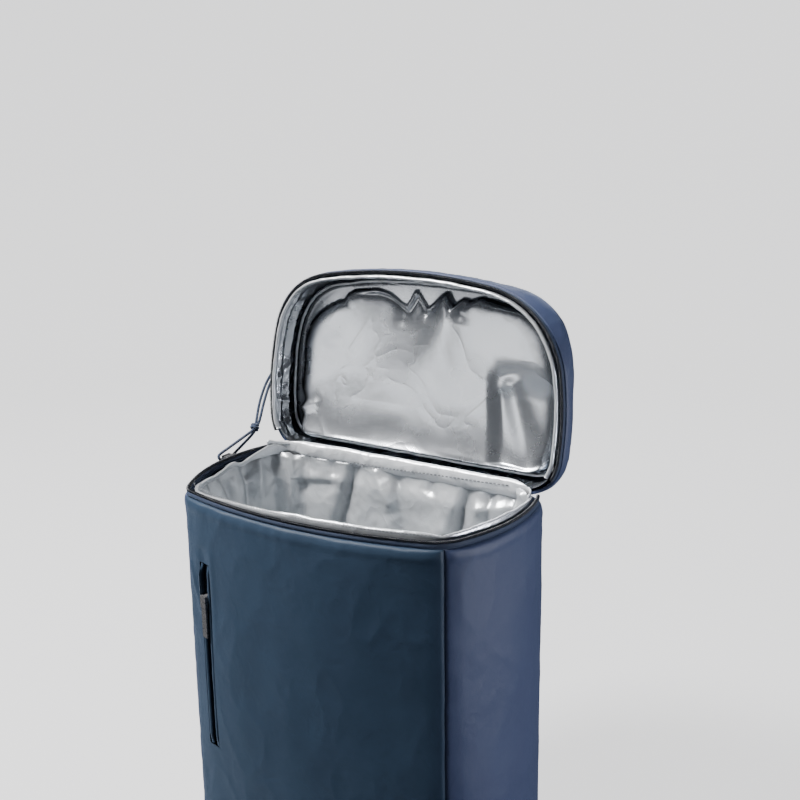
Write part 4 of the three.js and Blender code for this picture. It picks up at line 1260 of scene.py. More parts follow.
hingeSettings = {
    "left": -126,
    "right": 128,
    "line": -12.8,  # the strip's middle along the hinge
    "steps": 140,
    "cornerSteps": 36,
    "cornerFade": 22,
    # ways round the back corners, from the right side and to the left side
    "corners": {
        "right": [(153.0, -36), (150.5, -12.8), (128, -12.8)],
        "left": [(-126, -12.8), (-151, -12.8), (-154.5, -33)],
    },
    "peak": 3.4,
    "rows": [  # y from the back line, height above the zip rim
        (-7.9, -14.6), (-9.8, -12.6), (-11.6, -10.6), (-12.6, -8.2), (-13.0, -4.6), (-13.1, -1.2),
        (-12.9, 2.0), (-12.0, 4.0), (-9.8, 4.8), (-6.6, 3.2), (-3.2, 0.2), (-1.2, -1.4),
    ],
    "crumple": 1.3,
    # seam across the back: place from the left to the right, and height above the zip rim
    "seam": [(-150, -11.5), (-95, -10.4), (25, -5.2), (75, -3.2), (120, -0.6), (150, -0.6)],
    "seamFace": -14.4,
    "seamLip": 6.4,  # how far the lining's top edge comes forward to the seam
    "stitchPitch": 4.4,
}


def seamHeight(x):
    places, heights = zip(*hingeSettings["seam"])
    return np.interp(x, places, heights) + 0.5 * softNoise(x / 24, x * 0, 71)


# Lining of the body: a deep tray of silver film that hangs in folds from the rim.
# Back folds are placed by x and the height under the rim, side folds by y from the back line.

liningSettings = {
    "spacing": 2.6,
    "floor": 6.6,
    "floorRound": 7.0,
    "clear": 1.2,  # gap between the plan and the film where it lies flat
    "sink": 3.2,  # furthest that a fold goes back beyond that
    "furthest": 18,
    "crumple": 1.0,
    "wave": 2.2,
    "puff": {"back": 10, "left": 5.5, "right": 6.5, "front": 5},
    "corner": 27,  # how flat the lining spans the back corners
    "folds": {
        "back": [
            # gathers below the seam, held back between two puffed fields
            {
                "start": (-57, -6), "end": (-84, -96),
                "depth": -13, "width": (6, 15), "sharp": 0.75, "lop": -0.35,
            },
            {
                "start": (76, -4), "end": (58, -86),
                "depth": -12.5, "width": (5, 13), "sharp": 0.75, "lop": -0.35,
            },
            {"start": (-8, -8), "end": (8, -110), "depth": -6, "width": (8, 20), "sharp": 0.4, "lop": -0.3},
            {"start": (126, -4), "end": (132, -60), "depth": -6, "width": (5, 10), "sharp": 0.6},
            {"start": (102, -6), "end": (98, -44), "depth": -5.5, "width": (4, 9), "sharp": 0.7},
            {
                "start": (-128, -44), "end": (-86, -35),
                "depth": -4.5, "width": (9, 8), "sharp": 0.35, "lop": 0.3,
            },
            {"start": (-31, -12), "end": (-13, -40), "depth": 3.5, "width": (6, 10), "sharp": 0.5},
            {"start": (-120, -10), "end": (-112, -26), "depth": -3, "width": (6, 9), "sharp": 0.5},
            {"start": (-88, -10), "end": (-84, -24), "depth": -3.4, "width": (5, 8), "sharp": 0.5},
            {"start": (36, -8), "end": (34, -22), "depth": -3.5, "width": (5, 7), "sharp": 0.6},
            {"start": (88, -30), "end": (140, -18), "depth": 3, "width": (5, 6), "sharp": 0.6},
            {"start": (50, -60), "end": (6, -130), "depth": 4, "width": (12, 22), "sharp": 0.3},
            {"start": (-100, -100), "end": (-60, -240), "depth": -7, "width": (20, 30), "sharp": 0.3},
            {"start": (90, -110), "end": (70, -260), "depth": -7, "width": (20, 30), "sharp": 0.3},
        ],
        "left": [
            {"start": (-103, -8), "end": (-88, -50), "depth": -6, "width": (5, 9), "sharp": 0.75},
            {"start": (-66, -4), "end": (-62, -80), "depth": -7, "width": (7, 14), "sharp": 0.6, "lop": -0.3},
            {"start": (-44, -2), "end": (-50, -40), "depth": 3.5, "width": (5, 9), "sharp": 0.6},
            {"start": (-128, -10), "end": (-112, -60), "depth": -4, "width": (6, 10), "sharp": 0.5},
            {"start": (-80, -110), "end": (-40, -250), "depth": -6, "width": (16, 26), "sharp": 0.3},
        ],
        "right": [
            {"start": (-34, -10), "end": (-44, -80), "depth": -7, "width": (6, 12), "sharp": 0.6},
            {"start": (-62, -8), "end": (-58, -60), "depth": -6, "width": (5, 11), "sharp": 0.6},
            {"start": (-96, -10), "end": (-84, -70), "depth": -6, "width": (7, 12), "sharp": 0.5},
            {"start": (-70, -100), "end": (-100, -250), "depth": -6, "width": (16, 26), "sharp": 0.3},
        ],
        "front": [
            {"start": (-88, -14), "end": (-70, -80), "depth": -5, "width": (8, 14), "sharp": 0.5},
            {"start": (-20, -12), "end": (-34, -70), "depth": -5, "width": (8, 12), "sharp": 0.5},
            {"start": (60, -14), "end": (72, -90), "depth": -5, "width": (8, 14), "sharp": 0.5},
            {"start": (0, -110), "end": (30, -250), "depth": -6, "width": (16, 26), "sharp": 0.3},
        ],
    },
}


# Share of each wall at the places of a walk: 1 along the wall, fading out round the corners
def wallShare(walk, wall):
    before = {"right": "backRight", "front": "frontRight", "left": "frontLeft", "back": "backLeft"}[wall]
    after = {"right": "frontRight", "front": "frontLeft", "left": "backLeft", "back": "backRight"}[wall]
    share = np.where(walk["names"] == wall, 1.0, 0.0)
    share = np.where(walk["names"] == before, smooth(walk["shares"]), share)
    return np.where(walk["names"] == after, smooth(1 - walk["shares"]), share)


def liningPush(walk, z, values):
    drop = z - bodyHeight
    push = np.zeros(len(walk["run"]))
    fullness = smooth((-8 - drop) / 26) * smooth((drop + bodyHeight - 12) / 90)
    for wall, folds in values["folds"].items():
        along = walk["points"][:, 0] if wall in ("back", "front") else walk["points"][:, 1]
        share = wallShare(walk, wall)
        push += share * (values["puff"][wall] * fullness + foldField(along, drop, folds))
    for corner in ("backLeft", "backRight"):
        share = walk["shares"]
        push += np.where(walk["names"] == corner, values["corner"] * share * (1 - share), 0)
    u = walk["run"] + 40
    push += values["wave"] * roughNoise(u / 70, z / 90, 21, 2)
    push += values["crumple"] * (creases(u / 26, z / 34, 25) + 0.5 * creases(u / 11, z / 13, 29))
    return push


# Top edge of the lining: under the roll, and up at the seam along the hinge
def liningTop(walk, onBack):
    underRoll = rollBottom(walk, rollSettings) + 2.2
    seamUp = seamHeight(walk["points"][:, 0])
    return bodyHeight + underRoll + (np.maximum(seamUp, underRoll) - underRoll) * onBack


def liningFloor(walk, values):
    clear, bend = values["clear"], values["floorRound"]
    rows = []
    for turn in np.linspace(0.25, 1, 4) * math.pi / 2:
        up = values["floor"] + bend * (1 - math.sin(turn))
        rows.append(rowOf(walk, -clear - bend * (1 - math.cos(turn)), up))
    for share in np.linspace(0.06, 1, 26):
        row = rowOf(walk, -clear - bend, values["floor"], share)
        bump = np.abs(roughNoise(row[:, 0] / 36, row[:, 1] / 36, 51))
        row[:, 2] += 1.1 * bump * smooth(share * 5) * smooth((1 - share) * 8)
        rows.append(row)
    return rows


def makeLining(values):
    walk = walkRound(liningPlan, values["spacing"])
    onBack = smooth(wallShare(walk, "back") * 3)
    top = liningTop(walk, onBack)
    start = values["floor"] + values["floorRound"]
    sink = values["sink"]
    rows = []
    for share in 1 - np.linspace(0, 1, 120) ** 1.5:
        z = start + (top - start) * share
        below = top - z
        hang = (0.25 + 0.75 * smooth(below / 5)) * smooth((z - start) / 40)
        push = liningPush(walk, z, values)
        push = np.where(push < 0, -sink * (1 - np.exp(push / sink)), push)
        lip = hingeSettings["seamLip"] * np.exp(-below / 12) * (1 - 0.45 * np.exp(-below / 0.9))
        out = -values["clear"] - np.minimum(push, values["furthest"]) * hang - lip * onBack
        rows.append(rowOf(walk, out, z))
    rows += liningFloor(walk, values)
    lining = gridObject("bodyLining", onBody(np.stack(rows)), silverFoil, closed=True)
    settle(lining, "silver_lining", "body_lining")


makeLining(liningSettings)
print("lining made")


# The strip's way from the right side, round the back corners and along the hinge, to the left side
def hingePath(values):
    x = np.linspace(values["right"], values["left"], values["steps"])
    straight = np.column_stack([x, np.full(len(x), values["line"])])
    turns = {
        side: curvePoints([np.array(point) for point in route], np.linspace(0, 1, values["cornerSteps"]))
        for side, route in values["corners"].items()
    }
    return np.concatenate([turns["right"][:-1], straight, turns["left"][1:]])


def makeHinge(values):
    path = hingePath(values)
    along = np.gradient(path, axis=0)
    along /= np.linalg.norm(along, axis=1, keepdims=True)
    outward = np.column_stack([along[:, 1], -along[:, 0]])
    run = np.concatenate([[0], np.cumsum(np.linalg.norm(np.diff(path, axis=0), axis=1))])
    rightEnd = run[values["cornerSteps"] - 1]
    leftEnd = run[values["cornerSteps"] + values["steps"] - 2]
    fade = values["cornerFade"]
    atCorner = np.maximum(smooth((run - leftEnd + 6) / fade), smooth((rightEnd + 4 - run) / fade))
    swell = 0.8 * smooth((path[:, 0] + 100) / 120) + 0.8 * softNoise(run / 26, run * 0, 67)
    peak = values["peak"] * np.exp(-(((run[-1] - run - 2.5) / 5) ** 2))
    rows = []
    for share, (out, up) in zip(np.linspace(0, 1, len(values["rows"])), values["rows"]):
        ruffle = np.abs(creases(run / 19, run * 0 + share * 2.2, 61))
        ruffle += 0.6 * np.abs(softNoise(run / 8, run * 0 + share * 3, 63))
        bulge = math.sin(math.pi * min(1, share * 1.2)) if share < 0.8 else 0.1
        turned = 2.0 * (1 - smooth(run / 14)) * share
        away = out - values["crumple"] * ruffle * bulge
        thin = np.maximum(-13.6, np.minimum(out, -12.6 - 0.6 * share))
        away = away + (thin - away) * atCorner
        free = up * (1 - 0.45 * atCorner) + peak * share + swell * math.sin(math.pi * share)
        place = path + outward * (away - values["line"])[:, None]
        rows.append(np.column_stack([place, bodyHeight + free - turned]))
    # painted light: the strip's film is coloured paler than the lining's
    strip = gridObject("hingeStrip", onBody(np.stack(rows)), paintedLightFoil, thickness=0.7)
    settle(strip, "silver_lining", "hinge_strip")


def makeHingeStitches(values):
    x = np.linspace(values["left"] - 4, values["right"] - 3, 150)
    seamUp = seamHeight(x) + 0.7
    line = onBody(np.column_stack([x, np.full(len(x), values["seamFace"]), bodyHeight + seamUp]))
    outward = np.tile([0.0, -1.0, 0.15], (len(x), 1))
    # painted shade: the stitches' thread is coloured darker for the shade in their holes
    stitches = stitchRow("hingeStitches", line, threadWithPaintedShade, values["stitchPitch"], 2.9, 0.42, 0.5, outward)
    settle(stitches, "silver_lining")


makeHinge(hingeSettings)
makeHingeStitches(hingeSettings)
print("hinge made")


# Lid: cloth outside, and a shallow tray of silver film inside

lidShape = {
    "foot": 7.6,
    "seam": 31.0,
    "taper": 5.0,
    "edgeRound": 9.0,
    "crown": 4.0,
    "swell": 1.1,
    "flare": 9.0,
    "wall": 3.0,
    "lining": 5.8,  # lining in from the rim
    "liningFoot": 4.2,
    "roof": 33.8,
    "liningEdge": 17.0,
    "rollThickness": 3.8,
}
lidFolds = {
    # places are x and the distance from the hinge; a depth above 0 comes towards the opening
    "roof": [
        {"start": (-30, 187), "end": (-27, 150), "depth": -2.0, "width": (5, 10), "sharp": 0.4},
        {"start": (-4, 187), "end": (4, 158), "depth": -2.0, "width": (5, 10), "sharp": 0.4},
        {"start": (50, 186), "end": (44, 160), "depth": -2.0, "width": (5, 9), "sharp": 0.4},
        # long soft swells
        {"start": (102, 96), "end": (134, 16), "depth": 3.4, "width": (12, 15), "sharp": 0.1},
        {"start": (-150, 40), "end": (-126, 50), "depth": 2.0, "width": (4, 8), "sharp": 0.5},
    ],
    "star": {"x": 28, "top": 182, "bottom": 62, "depth": 12.0, "flank": 40, "far": 110},
    "step": {"x": 74, "height": 112, "depth": 6.0, "side": 18, "edge": 44},
    # how far the roof's padding stands out, and how soon from its edge
    "pillow": {"high": 9.5, "left": 6.0, "right": 4.5, "front": 3.6, "back": 5.0},
    "cove": (11.5, 24.0),  # how far the film comes forward at the hinge, and how soon it falls back
    # where the padding begins, in from the far edge and in from the left edge
    "indentFar": [
        (-140, 16), (-118, 16), (-105, 9), (-90, 4), (-62, 4), (-50, 8), (-38, 18), (-30, 21), (-21, 14),
        (-12, 4), (-4, 13), (4, 21), (13, 15), (21, 7), (27, 2), (33, 8), (42, 15), (50, 6), (58, 9), (68, 3),
        (90, 5), (110, 7), (125, 5), (140, 5),
    ],
    "indentLeft": [
        (0, 3), (24, 5), (38, 2), (46, 8), (60, 4), (90, 5), (120, 3), (150, 7), (175, 12), (190, 14),
    ],
    # places along the left wall are the distance from the hinge and the depth from the rim
    "leftWall": [
        {
            "start": (8, 9), "end": (185, 10),
            "depth": 2.4, "width": (2.6, 3.0), "sharp": 0.7, "ease": (0.05, 0.05),
        },
        {
            "start": (8, 15), "end": (185, 16),
            "depth": -2.0, "width": (2.6, 2.6), "sharp": 0.6, "ease": (0.05, 0.05),
        },
        {
            "start": (8, 21), "end": (160, 23),
            "depth": 2.6, "width": (3, 3), "sharp": 0.6, "ease": (0.05, 0.05),
        },
        {"start": (92, 28), "end": (76, 10), "depth": 2.6, "width": (4, 5), "sharp": 0.6},
        {"start": (52, 4), "end": (44, 30), "depth": 3.0, "width": (3, 4), "sharp": 0.7},
        {"start": (34, 30), "end": (14, 12), "depth": 3.2, "width": (3, 5), "sharp": 0.7},
        {"start": (24, 6), "end": (30, 28), "depth": -2.4, "width": (3, 4), "sharp": 0.7},
        {"start": (160, 6), "end": (172, 30), "depth": 3.0, "width": (3, 4), "sharp": 0.7},
    ],
}


# How far the lid spreads at one height, towards its top at its right front corner
def flared(walk, up):
    name, share = walk["names"], walk["shares"]
    ends, reachRight, reachFront = 0.25, 0.4, 0.3
    at = np.where(name == "right", ends * (1 - smooth((1 - share) / reachRight)), 0.0)
    at = np.where(name == "frontRight", ends + (1 - ends) * np.sin(math.pi * share), at)
    at = np.where(name == "front", ends * (1 - smooth(share / reachFront)), at)
    low = zipSettings["bandHeight"]
    return lidShape["flare"] * at * smooth((up - low) / (lidShape["seam"] - low))


def lidFoot(walk, footAtZip):
    turning = np.where(walk["names"] == "back", 1.0, 0.0)
    turning = np.where(walk["names"] == "backLeft", walk["shares"], turning)
    turning = np.where(walk["names"] == "backRight", 1 - walk["shares"], turning)
    return footAtZip + (0.4 - footAtZip) * smooth(2 * turning - 1)


def makeLidCloth(values):
    walk = walkRound(lidPlan, 2.6)
    run = walk["run"]
    foot = lidFoot(walk, values["foot"])
    rows = [rowOf(walk, -values["wall"], foot + 0.2), rowOf(walk, -1.0, foot)]
    for share in np.linspace(0, 1, 16):
        up = foot + 0.3 + (values["seam"] - foot - 0.3) * share
        puff = values["swell"] * np.sin(math.pi * share) ** 0.6
        ripple = 0.35 * roughNoise(run / 24, up / 16, 81) + 0.25 * creases(run / 13, up / 18, 83)
        out = -values["taper"] * share**2 + puff + ripple * math.sin(math.pi * share)
        rows.append(rowOf(walk, out + flared(walk, up), up))
    rows.append(rowOf(walk, -values["taper"] - 2.2 + flared(walk, up), values["seam"] + 0.4))
    gusset = gridObject("lidGusset", onLid(np.stack(rows)), sideCloth, closed=True)
    settle(gusset, "side_cloth", "lid_gusset")

    seam, depth = values["seam"], lidSettings["depth"]
    edge = values["taper"] + values["edgeRound"]
    flare = flared(walk, seam)
    rows = [
        rowOf(walk, -values["taper"] - values["wall"] + flare, seam - 0.1),
        rowOf(walk, -values["taper"] - 1.4 + flare, seam + 0.2),
    ]
    for turn in np.linspace(0.06, 1, 10) * math.pi / 2:
        out = -values["taper"] - values["edgeRound"] * (1 - math.cos(turn)) ** 0.9
        ripple = 0.3 * roughNoise(run / 15, run * 0 + turn, 85)
        rows.append(rowOf(walk, out + ripple + flare, seam + 0.6 + (depth - seam - 0.6) * math.sin(turn)))
    for share in np.linspace(0.03, 1, 48):
        row = rowOf(walk, -edge + flare, depth + values["crown"] * (1 - (1 - share) ** 2.2), share)
        sag = 1.4 * roughNoise(row[:, 0] / 80, row[:, 1] / 70, 87, 2)
        sag = sag + 0.4 * creases(row[:, 0] / 42, row[:, 1] / 42, 89)
        row[:, 2] += np.clip(sag * smooth(share * 6), -3, 1.6)
        rows.append(row)
    panel = gridObject("lidTopPanel", onLid(np.stack(rows)), navyCloth, closed=True)
    settle(panel, "cloth", "lid_top_panel")


# A crest that runs down from the gathered point, with the film sinking away on its left,
# and the corner beside the hinge that lies deeper behind a soft step
def roofRelief(x, fromHinge):
    star, step = lidFolds["star"], lidFolds["step"]
    relief = foldField(x, fromHinge, lidFolds["roof"])
    reach = np.clip((fromHinge - star["bottom"]) / (star["top"] - star["bottom"]), 0, 1)
    crest = star["x"] - 4 * (1 - reach)
    flank = star["flank"] * (1.4 - 0.4 * reach)
    away = np.clip((crest - x) / flank, 0, 1)
    kinked = reach**3
    left = kinked * (1 - (1 - away) ** 2) + (1 - kinked) * smooth(away)
    left = left * (1 - smooth((crest - x - flank) / star["far"]))
    right = 0.2 * smooth((x - crest) / 24) * (1 - smooth((x - crest - 24) / 60))
    relief = relief - star["depth"] * reach**1.2 * (left + right)
    slant = step["x"] + 0.1 * (step["height"] - fromHinge)
    dip = smooth((x - slant) / step["side"]) * smooth((step["height"] + 14 - fromHinge) / step["edge"])
    relief = relief - step["depth"] * dip
    return relief + 1.6 * roughNoise(x / 85 + 0.3, fromHinge / 75, 91, 2)


def makeLidLining(values):
    walk = walkRound(lidPlan, 2.2)
    foot = lidFoot(walk, values["liningFoot"])
    wallEnd = values["seam"] - 0.6
    onLeft = wallShare(walk, "left")
    run, along = walk["run"], -walk["points"][:, 1]
    rows = []
    for share in np.linspace(0, 1, 40):
        up = foot + (wallEnd - foot) * share
        push = onLeft * foldField(along, up, lidFolds["leftWall"])
        push = push + 0.7 * creases(run / 17, up / 13, 95) + 0.5 * roughNoise(run / 9, up / 9, 97)
        push = np.clip(push, -1.8, 4.5) * math.sin(math.pi * min(0.5, share * 4)) * (1 - 0.4 * share)
        out = -values["lining"] - values["taper"] * 0.8 * share**1.5 - push
        rows.append(rowOf(walk, out + flared(walk, up), up))
    flare = flared(walk, values["seam"])
    roofEdge = values["liningEdge"] - flare
    for share in np.linspace(0.2, 1, 5):
        out = -values["lining"] - values["taper"] * 0.8 + flare
        up = wallEnd + (values["roof"] - wallEnd) * share**0.6
        rows.append(rowOf(walk, out + (-roofEdge - out) * share, up))
    walls = {wall: wallShare(walk, wall) for wall in ("back", "left", "right", "front")}
    total = sum(walls.values())
    high = lidFolds["pillow"]["high"]
    reach = sum(walls[wall] * lidFolds["pillow"][wall] for wall in walls) / total
    coveHigh, coveReach = lidFolds["cove"]
    indent = walls["front"] * np.interp(walk["points"][:, 0], *zip(*lidFolds["indentFar"]))
    indent = (indent + walls["left"] * np.interp(along, *zip(*lidFolds["indentLeft"]))) / total
    for share in 1 - np.linspace(0.985, 0, 110) ** 1.35:
        row = rowOf(walk, -roofEdge, values["roof"], share)
        edge = rowOf(walk, -roofEdge, 0, 0)
        fromEdge = np.linalg.norm(row[:, :2] - edge[:, :2], axis=1)
        inside = np.maximum(0, fromEdge - indent)
        # beside the hinge the film comes forward in a cove, elsewhere it falls back to the seam
        fromHinge = np.maximum(0, -row[:, 1] - 17)
        nearHinge = smooth((60 - fromHinge) / 50)
        drop = high * np.exp(-inside / reach) * (1 - nearHinge * walls["back"] / total)
        cove = coveHigh * np.exp(-fromHinge / coveReach) * smooth(inside / 12 + walls["back"])
        lift = high - drop + cove + roofRelief(row[:, 0], -row[:, 1]) * smooth(inside / 8)
        lift = np.where(lift < 0, -3.5 * (1 - np.exp(lift / 3.5)), lift)
        row[:, 2] += 1.5 * smooth(share * 1.4) - np.minimum(lift, 24)
        rows.append(row)
    lining = gridObject("lidLining", onLid(np.stack(rows)), lidFoil, closed=True)
    settle(lining, "silver_lining", "lid_lining")


def makeLidTrim(values):
    zipWalk = walkZip(lidPlan, 2.0)
    run = zipWalk["run"]
    middle = -5.2 - values["rollThickness"] / 2
    half = values["rollThickness"] / 2
    ripple = 0.5 * roughNoise(run / 12, run * 0, 101)
    rise = 0.7 * softNoise(run / 21, run * 0, 103)
    rows = []
    for turn in np.linspace(0, 2 * math.pi, 12, endpoint=False):
        lobe = 1 + 0.12 * softNoise(run / 6, run * 0 + turn, 105)
        out = middle + half * math.cos(turn) * lobe + ripple * 0.5
        rows.append(rowOf(zipWalk, out, 1.1 + rise * (math.sin(turn) < 0) + 2.7 * math.sin(turn) * lobe))
    roll = gridObject("lidRimRoll", onLid(np.stack(rows)), collarFoil, closedRows=True, capEnds=True)
    settle(roll, "silver_lining", "lid_rim_roll")

    walk = walkRound(lidPlan, 2.2)
    run = walk["run"]
    weltOut = flared(walk, values["seam"]) - (values["lining"] + values["taper"] * 0.8 + 1.2 + 1.5 + 0.6)
    up = values["seam"] - 2.6
    rows = []
    for turn in np.linspace(0, 2 * math.pi, 10, endpoint=False):
        wobble = 0.5 * softNoise(run / 14, run * 0, 107)
        lobe = 1.5 * (1 + 0.15 * softNoise(run / 7, run * 0 + turn, 109))
        rows.append(rowOf(walk, weltOut + wobble + lobe * math.cos(turn), up + lobe * math.sin(turn)))
    welt = gridObject("lidLiningWelt", onLid(np.stack(rows)), collarFoil, closed=True, closedRows=True)
    settle(welt, "silver_lining", "lid_lining_welt")


makeLidCloth(lidShape)
makeLidLining(lidShape)
makeLidTrim(lidShape)
print("lid made")


# Zip of the front pocket

pocketParts = {
    "tapeDepth": 2.6,
    "lipWidth": 4.4,
    "lipRise": 3.6,
    "openTo": 46.0,  # the zip gapes down to the slider
    "gape": 2.6,
}


def makePocket(values):
    curve = planCurves(bodyPlan)["front"]
    share = 1 - (pocketSettings["fromSeam"] - bodyPlan["frontCorner"]) / curveLength(curve)
    middle, out = curvePoints(curve, np.array([share]))[0], curveNormals(curve, np.array([share]))[0]
    right = np.array([-out[1], out[0]])
    top, tall = bodyHeight - pocketSettings["topDrop"] - 0.5, pocketSettings["height"] - 1
    half = pocketSettings["width"] / 2 - 0.5

    def atSlot(across, outward, down):
        across, outward, down = np.broadcast_arrays(across, outward, down)
        flat = middle + across[..., None] * right + outward[..., None] * out
        return onBody(np.concatenate([flat, (top - down)[..., None]], axis=-1))

    down = np.linspace(0, tall, 150)
    gape = values["gape"] * smooth(down / 14) * (1 - smooth((down - 30) / (values["openTo"] - 30)))
    rows = [atSlot(across, -values["tapeDepth"] + lift, down) for across, lift in [
        (-half, 0.0), (-half + 2, 0.15), (-1.0, 0), (1.0, 0), (half - 2, 0.15), (half, 0.0),
    ]]
    tape = gridObject("pocketTape", np.stack(rows), tapeCloth, thickness=1.0)
    settle(tape, "zip_tape", "pocket_zip_tape")

    turns = tall / zipSettings["pitch"]
    angle = np.linspace(0, turns * 2 * math.pi, int(turns * 9))
    coilDown = angle / (turns * 2 * math.pi) * tall
    helix = atSlot(1.5 * np.cos(angle), -1.2 + 0.75 * np.sin(angle), coilDown)
    core = atSlot(0.0, -1.2, down)
    shapes = [tubeParts(helix, zipSettings["wire"], 5), tubeParts(core, 0.5, 6)]
    coil = joinedObject("pocketCoil", shapes, coilNylon)
    settle(coil, "zip_coil", "pocket_zip_coil")

    lips = [(-1, "pocketLipLeft", "pocket_lip_left"), (1, "pocketLipRight", "pocket_lip_right")]
    for side, name, node in lips:
        shift = gape if side < 0 else gape * 0
        level = down * 0 + side
        wave = 0.35 * softNoise(down / 16, level, 111) + 0.2 * softNoise(down / 6, level, 113)
        closing = 1 - 0.5 * smooth((down - tall + 12) / 12) - 0.5 * smooth((10 - down) / 10)
        inner = side * (half - values["lipWidth"]) - shift + wave
        high = values["lipRise"] * closing + 0.5 * shift
        section = [
            (side * (half + 0.5), 0.4), (side * (half - 0.4), high * 0.8), (side * (half - 1.3), high),
            (inner + side * 1.6, high * 0.96), (inner + side * 0.5, high * 0.8), (inner, high * 0.5),
            (inner + side * 0.3, 0.2), (side * (half - 1.0), -0.6),
        ]
        rows = [atSlot(across - (shift if index in (2, 3) else 0) * 0.3, rise, down)
                for index, (across, rise) in enumerate(section)]
        lip = gridObject(name, np.stack(rows), navyCloth, closedRows=True, capEnds=True)
        settle(lip, "cloth", node)
        seam = atSlot(side * (half + 1.6), 2.4, down[4:-4])
        outward = np.tile([out[0], out[1], 0.0], (len(seam), 1))
        stitches = stitchRow(name + "Stitches", seam, navyThread, 3.2, 2.2, 0.22, 0.3, outward)
        settle(stitches, "cloth")


# Hard pieces keep the form of the frame, with rounded edges and their own finish
def finishNode(name, material, width, segments=3):
    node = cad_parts[name]
    node.data.materials.clear()
    node.data.materials.append(material)
    bevel = node.modifiers.new("edges", "BEVEL")
    bevel.width = width * metresPerMm
    bevel.segments = segments
    bevel.limit_method = "ANGLE"
    bevel.harden_normals = True


makePocket(pocketParts)
for name in ["zip_slider", "pocket_zip_slider", "pocket_zip_puller"]:
    finishNode(name, blackEnamel, 0.7)
print("pocket made")


# Carrying parts on the back

strapSettings = {
    "width": 62,
    "footWidth": 48,
    "thickness": 11,
    "topDrop": 58,
    "topSpacing": 96,
    "footSpacing": 176,
    "footHeight": 112,
    "bulge": 46,
    "rows": [  # share of the spreading, share of the height, share of the bulge
        (0, 1, 0.01), (0, 0.95, 0.02), (0.18, 0.77, 0.68), (0.45, 0.52, 1), (0.75, 0.22, 0.72), (1, 0, 0.38),
    ],
    "bindingReach": 5.5,
    "bindingRows": [  # share of the way out to the edge, share of half the thickness
        (0, 0.62), (0.35, 0.5), (0.75, 0.34), (1, 0.1), (1, -0.1), (0.75, -0.34), (0.35, -0.5), (0, -0.6),
    ],
    "webbingWidth": 25,
    "webbingThickness": 1.8,
    "adjusterLength": 22,
    "anchorHeight": 42,
    "anchorFromSide": 47.5,
    "anchorSize": (34, 30, 2.4),
    "yokeSize": (182, 34, 3),
}
faceOfBack = 2.6  # face of the back wall, clear of its swell


# A smooth curve through points whose speed follows the gaps between them, at even steps along it
def routeThrough(points, count):
    points = np.array(points, float)
    points = np.vstack([2 * points[0] - points[1], points, 2 * points[-1] - points[-2]])
    samples = []
    for i in range(len(points) - 3):
        p0, p1, p2, p3 = points[i : i + 4]
        t01, t12, t23 = (max(1e-4, np.linalg.norm(b - a)) ** 0.5 for a, b in ((p0, p1), (p1, p2), (p2, p3)))
        m1 = (p1 - p0) / t01 - (p2 - p0) / (t01 + t12) + (p2 - p1) / t12
        m2 = (p2 - p1) / t12 - (p3 - p1) / (t12 + t23) + (p3 - p2) / t23
        m1, m2 = m1 * t12, m2 * t12
        t = np.linspace(0, 1, 40, endpoint=i == len(points) - 4)[:, None]
        samples.append(
            (2 * t**3 - 3 * t**2 + 1) * p1 + (t**3 - 2 * t**2 + t) * m1
            + (3 * t**2 - 2 * t**3) * p2 + (t**3 - t**2) * m2
        )
    line = np.concatenate(samples)
    runs = np.concatenate([[0], np.cumsum(np.linalg.norm(np.diff(line, axis=0), axis=1))])
    at = np.linspace(0, runs[-1], count)
    return np.column_stack([np.interp(at, runs, line[:, k]) for k in range(3)])


# Directions along a band, across it and out of its face
def bandFrame(line):
    along = np.gradient(line, axis=0)
    along /= np.linalg.norm(along, axis=1, keepdims=True)
    side = np.array([1.0, 0, 0]) - along * along[:, :1]
    side /= np.linalg.norm(side, axis=1, keepdims=True)
    return along, side, np.cross(along, side)


# One row of a band for each place across it, given as share of the half width and height over the middle
def bandGrid(line, halfWidths, profile):
    _, side, face = bandFrame(line)
    halfWidths = np.broadcast_to(halfWidths, len(line))
    return np.stack([
        line + side * (halfWidths * across)[:, None] + face * np.broadcast_to(lift, len(line))[:, None]
        for across, lift in profile
    ])


